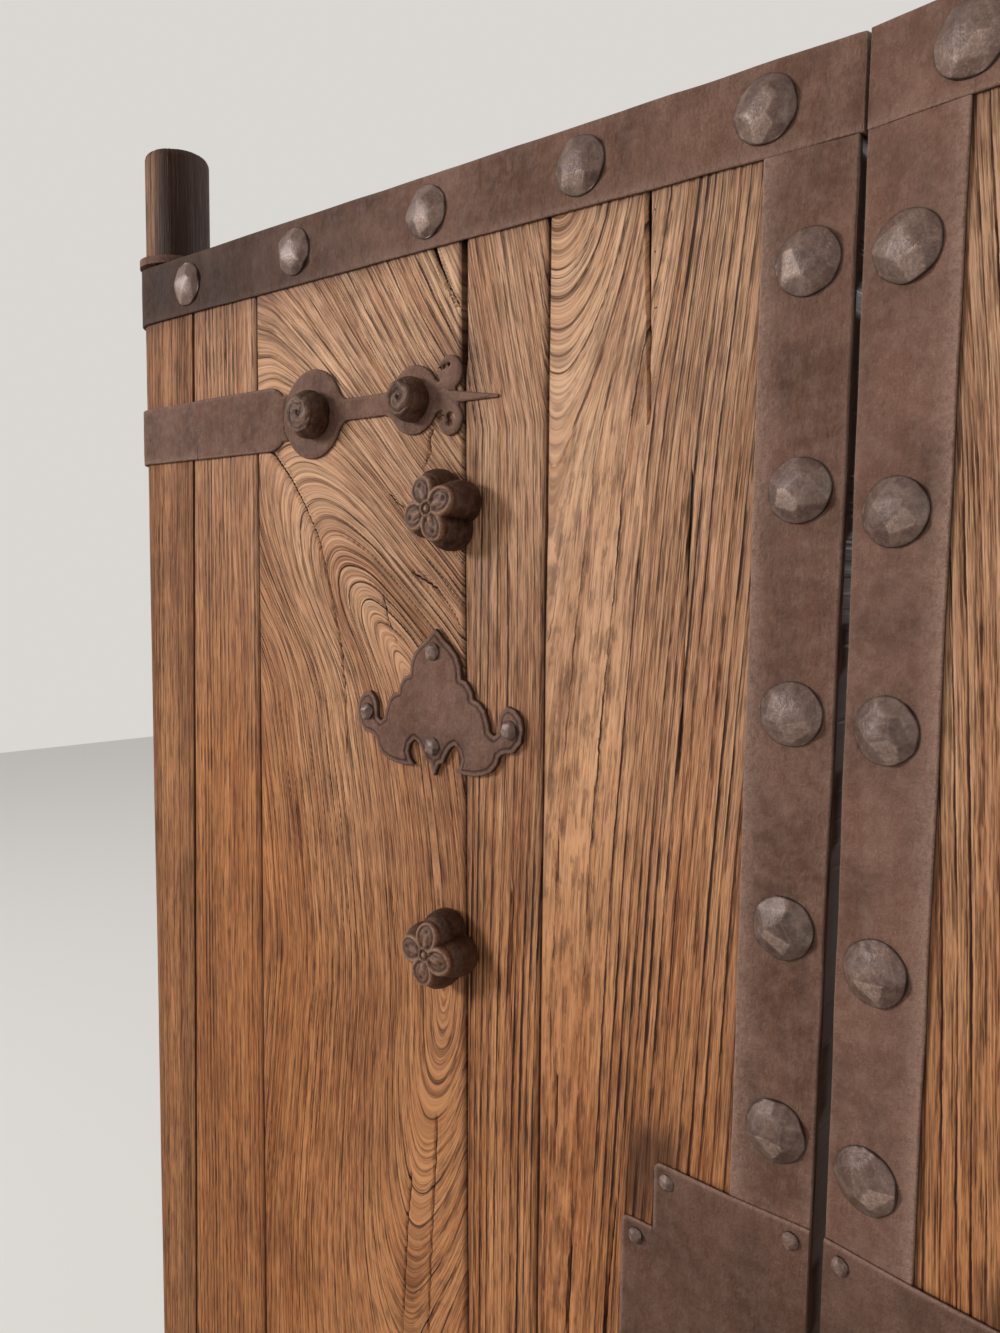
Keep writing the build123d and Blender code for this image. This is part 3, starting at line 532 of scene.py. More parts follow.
def make_straps(side, iron):
    for name, foot in (("top_strap", HEAD - STRAP), ("bottom_strap", FOOT)):
        fold = 38.0 if side == "left" and name == "top_strap" else 0.0
        form = Form(*IRON)
        reach = REACH - worn_gap(side, foot)
        band(form, *wrap_path(reach, fold), foot, STRAP, STRAP_IRON, 300 + len(name), 0.8)
        form.piece(side, name, "forged", "strap_iron", iron, 40)
    form = Form(*IRON)
    heights = spaced(FOOT + STRAP, HEAD - STRAP, 5.0)
    z, v, edge, depth, wander = strap_face(heights, MEETING_STRAP, 340, 60, 5, 1.0)
    x = REACH - MEETING_STRAP + v + wander - worn_gap(side, z) * v / MEETING_STRAP
    face = np.stack([x, -HALF - SEAT - STRAP_IRON + depth, z], -1)
    back = face[:, [-1, 0]]
    back[..., 1] = -HALF - SEAT
    # Lighter along its edges, with a broad band along the left edge that is partly wear and partly
    # a painted highlight where the key light catches it.
    wear = 0.45 * np.exp(-edge / 1.6) + 0.6 * peak(v, 13)
    # Painted shade: the strap's sides are painted near black.
    form.tube(np.concatenate([face, back], 1), wear=backed(wear, 0.0), soot=backed(0 * x, 1.0))
    form.piece(side, "meeting_strap", "forged", "strap_iron", iron, 40)


def make_latch_plate(side, iron):
    edge = REACH - MEETING_STRAP - 2.0
    wood, strap = -HALF - SEAT, -HALF - SEAT - STRAP_IRON
    rounded = np.array([0, 0.6, 2, 5, 8])
    plate = np.concatenate([rounded, spaced(12, 62, 5), [66, 69, 73, 75.5],
                            spaced(80, 146, 5), [150, 151.4, 152.2]])
    x = np.concatenate([WING_LEFT + rounded, spaced(WING_LEFT + 12, PLATE_LEFT - 4, 5),
                        [PLATE_LEFT - 0.01], PLATE_LEFT + plate])
    half = np.where(x < PLATE_LEFT - 0.005, WING_HALF, PLATE_HALF)
    for start, size in ((WING_LEFT, WING_HALF), (PLATE_LEFT, PLATE_HALF)):
        t = np.clip((start + PLATE_CORNER - x) / PLATE_CORNER, 0, 1)
        near = (x >= start) & (x < start + PLATE_CORNER)
        half = np.where(near, size - PLATE_CORNER * (1 - np.sqrt(1 - t * t)), half)
    lift = np.interp(x, [WING_LEFT, PLATE_LEFT, edge, REACH], [wood, wood, strap, strap])
    v = np.concatenate([[-1, -0.993, -0.984], np.linspace(-0.97, 0.97, 53), [0.984, 0.993, 1]])
    z = PLATE_Z + half[:, None] * v
    gx = np.repeat(x[:, None], len(v), 1)
    rim = np.minimum(half[:, None] * (1 - abs(v)), (x - WING_LEFT)[:, None])
    rim = np.where((gx > PLATE_LEFT) & (abs(z - PLATE_Z) > WING_HALF),
                   np.minimum(rim, gx - PLATE_LEFT), rim)
    depth = hammered(gx, z, 371, 0.35) + 1.3 * np.clip(1 - rim / 2.2, 0, 1) ** 1.5
    face = np.stack([gx, lift[:, None] - PLATE_IRON + depth, z], -1)
    back = face[:, [-1, 0]]
    back[..., 1] = lift[:, None]
    form = Form(*IRON)
    wear, soot = 0.9 * peak(rim - 1.4, 0.8), 0.3 * (1 - np.exp(-rim / 3))
    # Painted shade: the plate's sides are painted near black.
    form.tube(np.concatenate([face, back], 1), wear=backed(wear, 0.0), soot=backed(soot, 1.0))
    form.piece(side, "latch_plate", "forged", "strap_iron", iron, 40)


# The four corners of each cell in a grid of points, in turn.
CORNERS = [(slice(i, i - 1 or None), slice(j, j - 1 or None))
           for i, j in ((0, 0), (1, 0), (1, 1), (0, 1))]


def cut_plate(form, distance, low, high, step, profile, groove, centre):
    """Plate with any outline on the wood: distance(x, z) is negative inside. The outer cells of
    the grid are drawn to the outline, profile(depth inside, x, z) gives the height, and groove the
    darkness of the face, which is painted shade in its cuts and at its edge. The plate's sides are
    painted near black, painted shade."""
    x, z = np.meshgrid(np.arange(low[0], high[0], step), np.arange(low[1], high[1], step),
                       indexing="ij")
    d = distance(x, z)
    inside = d < 0
    cells = np.any([inside[corner] for corner in CORNERS], 0)
    tiny = 0.05
    for _ in range(4):
        slope_x = (distance(x + tiny, z) - distance(x - tiny, z)) / (2 * tiny)
        slope_z = (distance(x, z + tiny) - distance(x, z - tiny)) / (2 * tiny)
        d = distance(x, z)
        move = np.where((~inside) & (d < 2.5 * step), d, 0)
        size = np.maximum(slope_x ** 2 + slope_z ** 2, 0.2)
        x, z = x - move * slope_x / size, z - move * slope_z / size
    d = np.where(inside, distance(x, z), 0.0)
    height = profile(np.maximum(-d, 0), x, z)
    used = np.zeros(x.shape, bool)
    for corner in CORNERS:
        used[corner] |= cells
    count = int(used.sum())
    index = np.full(x.shape, -1)
    index[used] = np.arange(count)
    quads = np.stack([index[corner][cells] for corner in CORNERS], -1)
    faces = quads.tolist() + (quads[:, ::-1] + count).tolist()
    edges = dict.fromkeys((quad[k], quad[(k + 1) % 4]) for quad in quads.tolist()
                          for k in range(4))
    faces += [[q, p, p + count, q + count] for p, q in edges if (q, p) not in edges]
    top = np.stack([x[used] + centre[0], -HALF - SEAT - height[used], z[used] + centre[1]], -1)
    bottom = top.copy()
    bottom[:, 1] = -HALF - SEAT
    deep = np.maximum(-d[used], 0)
    wear = np.concatenate([0.5 * peak(deep - 1.5, 1), np.zeros(count)])
    # Painted shade: the top takes the groove's darkness, and the sides are painted near black.
    soot = np.concatenate([groove(deep, x[used], z[used]), np.ones(count)])
    form.add(np.concatenate([top, bottom]), faces, wear=wear, soot=soot)


def disc(x, z, at_x, at_z, radius):
    return np.hypot(x - at_x, z - at_z) - radius


def capsule(x, z, a, b, ra, rb):
    """Rod from a to b whose half width goes from ra to rb."""
    far, t = segment_distance(x, z, a, b)
    return far - (ra + (rb - ra) * t)


def blend(a, b, soft):
    """Union of two distances with a rounded inner corner."""
    h = np.clip(0.5 + 0.5 * (b - a) / soft, 0, 1)
    return b + (a - b) * h - soft * h * (1 - h)


def first_disc(x, z):
    return disc(x, z, DISC[0][0], 0, DISC[0][1])


def hinge_distance(x, z):
    """Outline of a hinge strap: band, two discs and a neck, spike, upper and lower curl."""
    corner = 30
    over, beside = x - 292 + corner, np.abs(z) - HINGE / 2 + corner
    end = np.hypot(np.maximum(over, 0), np.maximum(beside, 0)) - corner
    end = end + np.minimum(np.maximum(over, beside), 0)
    form = np.minimum(end, first_disc(x, z))
    form = np.minimum(form, np.maximum(np.abs(x - 300) - 20, np.abs(z) - 27))
    far = disc(x, z, DISC[1][0], 0, DISC[1][1])
    form = blend(form, blend(capsule(x, z, (392, 0), (475, 0), 12.2, 12.4), far, 12), 13)
    form = np.minimum(form, capsule(x, z, (545, -0.4), (622, -6.8), 7.6, 1.7))
    upper = disc(x, z, 557.5, 23.2, 17.8)
    upper = np.maximum(upper, -capsule(x, z, (541, 27.5), (557, 31.5), 1.5, 1.9))
    upper = np.maximum(upper, -capsule(x, z, (534, 29.0), (543, 16.5), 1.8, 1.5))
    ring = np.abs(disc(x, z, 559, -24.3, 11.9)) - 5.0
    ring = np.maximum(ring, -capsule(x, z, (536, -21.0), (547, -15.5), 2.0, 1.4))
    ring = np.maximum(ring, -capsule(x, z, (536, -26.0), (549, -21.5), 3.0, 2.5))
    hook = capsule(x, z, (546.5, -29.0), (552.0, -25.5), 4.2, 3.6)
    stem = capsule(x, z, (538, 8.0), (552, 10.5), 7.0, 5.0)
    root = capsule(x, z, (538, -8.0), (558, -10.8), 7.0, 4.6)
    form = blend(form, stem, 3)
    form = blend(form, root, 3)
    form = np.minimum(form, upper)
    return np.minimum(form, np.minimum(ring, hook))


def make_hinges(side, iron):
    def seam(x, z):
        return peak(first_disc(x, z), 1.3) * (x < 325) * (abs(z) < 36)

    def profile(inside, x, z):
        height = HINGE_IRON - hammered(x, z, 401, 0.7)
        soft = 3.0 * np.clip(1 - inside / 4.0, 0, 1) ** 2
        soft = np.where(x < 275, 1.3 * np.clip(1 - inside / 2.2, 0, 1) ** 2, soft)
        lower = 0.9 * smooth(x, 240, 290) * (first_disc(x, z) > 0) * (x < DISC[0][0])
        return height - soft - lower - 1.4 * seam(x, z)

    def groove(inside, x, z):
        # Painted shade: the seam where the band meets the first disc and the plate's edge are
        # painted dark.
        return np.clip(0.8 * seam(x, z) + 0.5 * np.clip(1 - inside / 0.8, 0, 1), 0, 1)

    for name, at in HINGE_AT.items():
        form = Form(*IRON)
        band(form, *wrap_path(HINGE_BAND), at - HINGE / 2, HINGE, HINGE_IRON, 410)
        step = 1.6 if side == "left" and name == "upper" else 3.0
        cut_plate(form, hinge_distance, (108, -54), (626, 54), step, profile, groove, (0, at))
        form.piece(side, f"{name}_hinge_strap", "forged", "strap_iron", iron, 40)


# Right half of the ornament's outline, from its upper tip to its lower one.
ORNAMENT_HALF = (
    (0, 84), (6, 79), (12, 73), (22, 66), (31, 57), (36, 45), (37, 33), (44, 31), (49, 26),
    (53, 20), (54, 13), (62, 10.5), (70, 3), (75.5, -11), (77, -18.5), (83, -22.5), (88.5, -18.5),
    (89, -11), (89.5, -3), (93, 4), (100, 9.8), (110, 7), (118, -1), (120.5, -12), (118, -26),
    (108, -37), (100, -38), (94, -40), (90, -43.4), (87, -52), (79, -60.5), (68, -65), (56, -67.5),
    (42, -67.5), (30.2, -65.7), (36.5, -60), (39.3, -52), (37, -44), (29.9, -37.7), (25, -40),
    (20.5, -44.5), (17, -50), (15, -53), (13, -58.5), (6, -61), (0, -75),
)


def polygon_distance(x, z, outline):
    """Signed distance to a closed outline, negative inside."""
    far = np.full(x.shape, 1e9)
    inside = np.zeros(x.shape, bool)
    for (ax, az), (bx, bz) in zip(outline, outline[1:] + outline[:1]):
        far = np.minimum(far, segment_distance(x, z, (ax, az), (bx, bz))[0])
        crosses = (az > z) != (bz > z)
        inside ^= crosses & (x < ax + (z - az) * (bx - ax) / ((bz - az) or 1e-9))
    return np.where(inside, -far, far)


def make_ornament(side, iron):
    outline = list(ORNAMENT_HALF) + [(-x, z) for x, z in reversed(ORNAMENT_HALF[1:-1])]

    def distance(x, z):
        return polygon_distance(x, z, outline)

    def profile(inside, x, z):
        height = ORNAMENT_HEIGHT - hammered(x, z, 433, 0.4)
        height = height - 0.8 * np.clip(1 - inside / 1.4, 0, 1)
        height = height - 0.8 * (1 - smooth(inside, 4.4, 5.6))
        return height - 0.9 * peak(inside - ORNAMENT_LINE, 0.8)

    def groove(inside, x, z):
        # Painted shade: the cut line, the outer band and the very edge of the plate are painted
        # dark.
        line = peak(inside - ORNAMENT_LINE, 0.85)
        return np.clip(0.9 * line + 0.15 * (inside < 5) + 0.3 * (inside < 0.7), 0, 1)

    form = Form(*IRON)
    step = 1.3 if side == "left" else 2.6
    cut_plate(form, distance, (-123, -78), (123, 87), step, profile, groove, ORNAMENT)
    form.piece(side, "ornament_plate", "forged", "strap_iron", iron, 40)


# ---- domes ----
def dome(form, at, lift, radius, depth, seed, rings, around, blows, rim=0.14):
    """Domed head whose surface is a set of flat blows with soft edges: one on top and two rings of
    them. The blow that faces the lower left, toward the key light, is painted bright as a painted
    highlight, and the rim is painted dark as a painted shadow line round its foot."""
    rng = np.random.default_rng(seed)
    ball = (radius ** 2 + depth ** 2) / (2 * depth)
    planes = [(0.0, 0.0, depth)]
    for share, count in zip((0.46, 0.84), blows):
        start = rng.random() * 2 * math.pi
        for k in range(count):
            a = start + (k + 0.6 * (rng.random() - 0.5)) * 2 * math.pi / count
            r = radius * (share + 0.2 * (rng.random() - 0.5))
            drop = math.sqrt(ball ** 2 - r ** 2)
            slope = r / drop
            top = drop - (ball - depth) + slope * r
            planes.append((slope * math.cos(a), slope * math.sin(a), top))
    a, r = np.meshgrid(np.arange(around) * 2 * math.pi / around,
                       np.concatenate([[1, 1, 0.985, 0.95], np.linspace(0.9, 0.04, rings)]))
    edge = 1 - 0.035 * noise(3 + 2.2 * np.cos(a), 3 + 2.2 * np.sin(a), seed)
    px, pz = radius * r * edge * np.cos(a), radius * r * edge * np.sin(a)
    stack = np.array([top - sx * px - sz * pz for sx, sz, top in planes])
    soft = 0.9 if radius > 15 else 0.4
    low = stack.min(0)
    height = low - soft * np.log(np.exp(-(stack - low) / soft).sum(0))
    height = np.clip(height, rim * depth, depth)
    height[0] = 0.0
    height[1] = rim * depth * 0.75
    points = np.stack([px + at[0], -HALF - lift - height, pz + at[1]], -1)
    struck = np.argmin(stack, 0)
    glint_and_wear = 0.3 * noise(struck * 1.7, 0 * px + seed, 9) ** 2
    # Painted highlight: the blow that faces the lower left is painted bright where the key light
    # would glint on it.
    facing = [sx * -0.75 + sz * -0.65 for sx, sz, top in planes]
    glint_and_wear = glint_and_wear + 0.42 * (struck == int(np.argmax(facing[: 1 + blows[0]])))
    near = np.sort(stack, 0)[1] - low
    glint_and_wear = glint_and_wear + 0.15 * smooth(0.6 - near, 0, 0.6)
    # Painted shade: the ring at the rim and foot of the head is painted near black, the shadow
    # line where it meets the iron below.
    form.tube(points, wear=glint_and_wear, soot=0.8 * smooth(r, 0.94, 0.99))


def make_studs(side, iron):
    form = Form(*IRON)
    lift = SEAT + STRAP_IRON
    spots = [(x, z) for z in (HEAD - STRAP / 2, FOOT + STRAP / 2) for x in STUD_X]
    spots += [(STUD_COLUMN, FOOT + z) for z in STUD_Z[side]]
    for k, at in enumerate(spots):
        in_photo = at[1] > 1000 and (side == "left" or at[0] > 900)
        seed = 500 + k + 40 * (side == "right")
        dome(form, at, lift, *STUD_SIZE, seed, *STUD_GRIDS[in_photo], (3, 6))
    form.piece(side, "strap_studs", "forged", "stud_iron", iron, 24)
    form = Form(*IRON)
    corner, wing = PLATE_HALF - 15, WING_HALF - 15
    spots = [(x, PLATE_Z + way * z, over) for x, z, over in
             ((PLATE_LEFT + 15, corner, 0), (PLATE_LEFT - 17, wing, 0),
              (REACH - 19.5, corner, STRAP_IRON)) for way in (1, -1)]
    for k, (x, z, over) in enumerate(spots):
        dome(form, (x, z), SEAT + PLATE_IRON + over - 0.5, *PLATE_RIVET_SIZE, 560 + k,
             7, 28, (4, 6))
    form.piece(side, "latch_plate_rivets", "forged", "stud_iron", iron, 24)
    form = Form(*IRON)
    for k, (x, z) in enumerate(ORNAMENT_RIVETS):
        at = (ORNAMENT[0] + x, ORNAMENT[1] + z)
        dome(form, at, SEAT + 5.2, *ORNAMENT_RIVET_SIZE, 570 + k, 10, 36, (3, 5))
    form.piece(side, "ornament_rivets", "forged", "stud_iron", iron, 24)


# Height over the wood and radius, as shares of a knob's depth and radius.
KNOB_PROFILE = ((0.0, 0.82), (0.06, 0.93), (0.2, 1.0), (0.42, 1.0), (0.6, 0.95), (0.72, 0.87),
                (0.79, 0.80), (0.86, 0.80), (0.93, 0.775), (0.975, 0.70), (0.995, 0.58),
                (1.0, 0.4), (1.0, 0.02))


def lobed(form, at, lift, radius, depth, turn, lobes, waist, around, rows, seed, petals=True):
    """Knob of round lobes with a flower cut in its face: a loop, a spine and a pit in each
    petal and a pin in the middle. Without petals the face has a swirl."""
    share = np.array(KNOB_PROFILE)
    length = np.cumsum(np.hypot(*np.diff(share, axis=0, prepend=share[:1]).T))
    t = np.linspace(0, length[-1], rows)
    high, wide = (np.interp(t, length, way) for way in share.T)
    a, h = np.meshgrid(np.arange(around) * 2 * math.pi / around, high)
    sector = 2 * math.pi / lobes
    phi = (a + sector / 2) % sector - sector / 2
    limit = np.maximum((1 - waist) ** 2 - (waist * np.sin(phi)) ** 2, 0.02)
    lobe = waist * np.cos(phi) + np.sqrt(limit)
    notch = 1 - 0.25 * smooth(h, 0.9, 1.0) - 0.3 * (1 - smooth(h, 0.0, 0.15))
    r = radius * wide[:, None] * (1 + (lobe - 1) * notch)
    px, pz = r * np.cos(a + turn), r * np.sin(a + turn)
    y = depth * h
    flat, front = r / radius, smooth(h, 0.82, 0.93)
    if petals:
        along, beside = flat * np.cos(phi), flat * np.sin(phi)
        loop = np.hypot((along - 0.45) / 0.34, beside / 0.285)
        spine = peak(beside, 0.05) * smooth(along, 0.13, 0.22)
        spine = spine * smooth(-along, -0.5, -0.4)
        ridge = peak(loop - 1, 0.14) + 0.8 * spine
        cut = 0.8 * peak(loop - 0.76, 0.1) + 1.0 * smooth(loop, 1.15, 1.4)
        cut = cut + 1.3 * peak(np.hypot(along - 0.58, beside), 0.05)
        sides = peak(abs(beside) - 0.11, 0.03) * smooth(-along, -0.52, -0.44)
        cut = cut + 0.5 * sides
        centre = np.hypot(along, beside)
        ridge = ridge * (centre > 0.13) + 1.6 * peak(centre, 0.06)
        cut = cut * (centre > 0.13) + 1.2 * peak(centre - 0.11, 0.03)
    else:
        stir = 0.5 * noise(px / 8, pz / 8, seed + 2)
        spiral = (flat * 2.0 - (a + turn) / (2 * math.pi) + stir) % 1.0
        inner = smooth(flat, 0.1, 0.16)
        ridge = peak(spiral - 0.2, 0.16) * inner
        cut = peak(spiral - 0.65, 0.14) * inner
        cut = cut + 2.0 * (1 - smooth(flat, 0.05, 0.13))
    y = y + front * (0.9 * ridge - (1.5 if petals else 1.1) * cut) - 1.0 * front
    lumps = noise(px / 9 + 50, pz / 9 + y / 11, seed)
    rough = 0.5 * noise(px / 4 + 50, pz / 4 + y / 4, seed + 1) + (0.6 if petals else 1.8) * lumps
    y = np.clip(y - rough * (h > 0.02) * 0.7, 0, depth)
    points = np.stack([px * (1 - 0.02 * rough) + at[0], -HALF - lift - y, pz + at[1]], -1)
    wear = front * ((0.18 + 0.5 * ridge) if petals else (0.06 + 0.24 * ridge * lumps))
    # Painted shade: the knob's sides toward the wood and the cuts in its face are painted dark.
    soot = np.clip(0.45 * (1 - smooth(h, 0.6, 0.86)) + 0.6 * front * cut, 0, 1)
    form.tube(points, wear=np.clip(wear, 0, 1), soot=soot)


def make_knobs(side, iron):
    form = Form(*IRON)
    aside, radius, depth = KNOB_SHOWN
    for k, z in enumerate(KNOB_Z):
        grid = KNOB_GRIDS[side == "left" and k < 2]
        turn = math.radians(KNOB_TURNS[k] + (0 if side == "left" else 17))
        lobed(form, (KNOB_X + aside, z), 0.0, radius, depth, turn, 4, 0.54, *grid, 600 + k)
    for z in KNOB_Z:
        form.tube(np.array([[(KNOB_X + x, y, z + rise) for x, rise in
                             ((5, 5), (-5, 5), (-5, -5), (5, -5))] for y in (-HALF, HALF + 7)]))
    form.piece(side, "lobed_knobs", "carved", "stud_iron", iron, 45)
    form = Form(*IRON)
    lift = SEAT + HINGE_IRON - 0.6
    for k, z in enumerate(HINGE_AT.values()):
        grid = BOSS_GRIDS[side == "left" and k == 0]
        for seed, (x, drop, radius, depth, turn, waist) in zip((630, 640), BOSSES):
            lobed(form, (x, z - drop), lift, radius, depth, turn + k, 5, waist, *grid,
                  seed + k, False)
    form.piece(side, "hinge_bosses", "carved", "stud_iron", iron, 45)


# ---- materials ----
class Nodes:
    """Short way to write the node tree of a material or a world."""

    def __init__(self, owner):
        owner.use_nodes = True
        self.owner, self.tree = owner, owner.node_tree

    def put(self, kind, inputs=(), out=0, **settings):
        made = self.tree.nodes.new("ShaderNode" + kind)
        for key, value in settings.items():
            setattr(made, key, value)
        self.feed(made, inputs)
        return made.outputs[out]

    def feed(self, node, inputs):
        for key, value in dict(inputs).items():
            if isinstance(value, bpy.types.NodeSocket):
                self.tree.links.new(value, node.inputs[key])
            else:
                node.inputs[key].default_value = value

    def math(self, operation, a, b=0.5, clamp=False):
        return self.put("Math", {0: a, 1: b}, operation=operation, use_clamp=clamp)

    def times(self, a, b, clamp=False):
        return self.math("MULTIPLY", a, b, clamp)

    def plus(self, *terms):
        total = terms[0]
        for term in terms[1:]:
            total = self.math("ADD", total, term)
        return total

    def mix(self, share, a, b, how="MIX"):
        return self.put("Mix", {0: share, 6: a, 7: b}, 2, data_type="RGBA", blend_type=how)

    def layered(self, base, *layers):
        """Colours over a base, each with its share before it and the way it mixes after it."""
        for share, *over in layers:
            base = self.mix(share, base, *over)
        return base

    def ranged(self, value, low, high, start=0.0, end=1.0, **settings):
        return self.put("MapRange", {0: value, 1: low, 2: high, 3: start, 4: end}, **settings)

    def noise(self, vector, scale, detail, rough):
        return self.put("TexNoise", {"Vector": vector, "Scale": scale, "Detail": detail,
                                     "Roughness": rough})

    def value(self, name):
        return self.put("Attribute", attribute_name=name, out=2)

    def bump(self, height, strength, distance):
        return self.put("Bump", {"Height": height, "Strength": strength, "Distance": distance})

    def surface(self, **sockets):
        """Sets or links sockets of the material's shader, with _ for each space."""
        self.feed(self.tree.nodes["Principled BSDF"],
                  {key.replace("_", " "): value for key, value in sockets.items()})


def srgb(*levels):
    shares = [level / 255 for level in levels]
    return (*(c / 12.92 if c < 0.04045 else ((c + 0.055) / 1.055) ** 2.4 for c in shares), 1.0)


def grained_wood(name, *colours):
    """Wood whose rings, cracks and stains follow the values kept in the mesh; the stain value also
    carries painted shade, and the warmth value carries painted falloff of light.
    """
    light, mid, dark, stain_and_shade = (srgb(*colour) for colour in colours)
    n = Nodes(bpy.data.materials.new(name))
    where = n.put("TexCoord", out=3)
    height = n.put("SeparateXYZ", {0: where}, 2)
    phase, lines = n.value("phase"), n.value("lines")

    def streaks(value, across, along, detail, rough, offset=0.0):
        """Noise along the grain: across is per ring and along per metre of height."""
        vector = n.put("CombineXYZ", {0: n.times(value, across), 1: n.times(height, along),
                                      2: offset})
        return n.noise(vector, 1.0, detail, rough)

    def rings(count, waver, ragged, offset):
        """Millimetres past the last ring and its number, with a wavering, ragged edge."""
        moved = n.plus(phase, n.plus(n.times(fibre, waver), n.times(torn, ragged)), offset)
        number = n.times(moved, count)
        past = n.math("DIVIDE", n.math("FRACT", number), n.times(n.value("rate"), count))
        return past, n.math("FLOOR", number)

    fibre = streaks(phase, 3.6, 6.0, 4.0, 0.62)
    torn = streaks(phase, 2.2, 52.0, 3.0, 0.6, 12.0)
    fine = streaks(phase, 11.0, 9.0, 3.0, 0.65, 20.0)
    flecks = streaks(phase, 5.0, 27.0, 3.0, 0.66, 30.0)
    dashes = n.ranged(streaks(phase, 8.0, 19.0, 2.0, 0.6, 4.0), 0.52, 0.61)
    cloud = n.ranged(streaks(phase, 0.45, 1.7, 3.0, 0.55, 8.0), 0.34, 0.66)
    patch = n.ranged(n.noise(where, 6.5, 4.0, 0.6), 0.5, 0.66)

    place, number = rings(1.0, 0.18, 0.16, 0.0)
    own = n.ranged(streaks(number, 0.73, 6.0, 3.0, 0.6), 0.36, 0.56)
    wide = n.math("DIVIDE", place, n.plus(n.times(own, 0.9), 0.35))
    wide = n.math("DIVIDE", wide, n.ranged(lines, 0.0, 1.2, 0.7, 1.25))
    line = n.ranged(wide, 0.7, 2.1, 1.0, 0.0, interpolation_type="SMOOTHSTEP")
    bold = n.times(n.times(line, n.ranged(own, 0.0, 1.0, 0.3, 1.0)), lines)
    porous = n.ranged(place, 1.2, 7.0, 1.0, 0.0)
    thin_place, thin_number = rings(3.0, 0.12, 0.1, 0.37)
    thin = n.times(n.ranged(thin_place, 0.4, 1.2, 1.0, 0.0),
                   n.ranged(streaks(thin_number, 0.73, 11.0, 3.0, 0.6, 5.0), 0.5, 0.6))
    thin = n.times(thin, n.ranged(lines, 0.1, 0.7, 0.25, 1.0))
    dashes = n.times(dashes, n.plus(n.times(porous, 0.75), 0.25))

    inside = n.math("SUBTRACT", n.value("gape"), n.math("ABSOLUTE", n.value("crack")))
    base = n.layered(n.mix(cloud, mid, light),
                     (n.times(patch, 0.5), n.mix(fine, mid, stain_and_shade)),
                     (n.times(porous, 0.45), mid),
                     (n.ranged(fibre, 0.5, 0.7, 0.0, 0.56), dark),
                     (n.ranged(flecks, 0.52, 0.6, 0.0, 0.42), dark),
                     (n.ranged(flecks, 0.46, 0.37, 0.0, 0.46), light),
                     (n.ranged(fine, 0.54, 0.68, 0.0, 0.55), dark),
                     (n.ranged(fine, 0.46, 0.32, 0.0, 0.7), light),
                     (n.times(n.value("warmth_and_falloff"), 0.95), WARMTH_AND_FALLOFF, "MULTIPLY"),
                     (n.times(n.value("stain_and_shade"), 0.62, True), stain_and_shade),
                     (n.times(dashes, 0.78, True), dark), (n.times(thin, 0.6, True), dark),
                     (n.times(bold, 0.97, True), dark), (n.ranged(inside, 0.0, 0.5), DEEP))
    relief = n.plus(n.times(fibre, -0.8), n.times(dashes, -0.9), n.times(bold, -1.4),
                    n.times(thin, -1.0), n.times(n.plus(fine, flecks), -0.5))
    n.surface(Base_Color=base, Roughness=n.ranged(fibre, 0.3, 0.7, 0.55, 0.72),
              Normal=n.bump(relief, 0.9, 0.0014), Specular_IOR_Level=0.22)
    return n.owner


def forged_iron(name, metallic, rough, pit, gloss, *colours):
    """Iron with soft clouds and pits; colours are dark, middle, light and rust."""
    dark, mid, light, rust = (srgb(*colour) for colour in colours)
    n = Nodes(bpy.data.materials.new(name))
    where = n.put("TexCoord", out=3)
    mottle = n.noise(where, 11.0, 6.0, 0.66)
    grit = n.noise(where, 260.0, 4.0, 0.72)
    specks = n.ranged(n.noise(where, 520.0, 3.0, 0.7), 0.54, 0.68)
    pits = n.ranged(n.noise(where, 640.0, 2.0, 0.6), 0.5, 0.72)
    stretched = n.put("Mapping", {"Vector": where, "Scale": (1.0, 1.0, 0.35)})
    blotch = n.ranged(n.noise(stretched, 34.0, 5.0, 0.65), 0.42, 0.66)
    # The wear value lightens worn edges and ridges and also carries the painted highlight of one
    # blow on each head; the soot value darkens with soot and with painted shade on the iron's
    # sides, rims, seams and cuts.
    worn = n.times(n.value("wear"), n.ranged(grit, 0.3, 0.6, 0.3, 1.0), True)
    cloud = n.ranged(n.noise(where, 80.0, 6.0, 0.75), 0.42, 0.7, 0.0, 0.32)
    base = n.layered(n.mix(n.ranged(mottle, 0.38, 0.62), dark, mid), (n.times(blotch, 0.6), rust),
                     (n.times(specks, n.ranged(mottle, 0.4, 0.65, 0.05, 0.36)), light),
                     (cloud, light), (worn, light), (n.times(pits, 0.45), dark),
                     (n.times(n.value("soot"), 0.85, True), SOOT_AND_SHADE))
    height = n.plus(n.times(grit, 0.8), n.times(mottle, 1.2), n.times(blotch, 0.6))
    n.surface(Base_Color=base, Metallic=metallic, Normal=n.bump(height, pit, 0.0018),
              Roughness=n.ranged(blotch, 0.0, 1.0, rough, rough + 0.14), Specular_IOR_Level=gloss)
    return n.owner


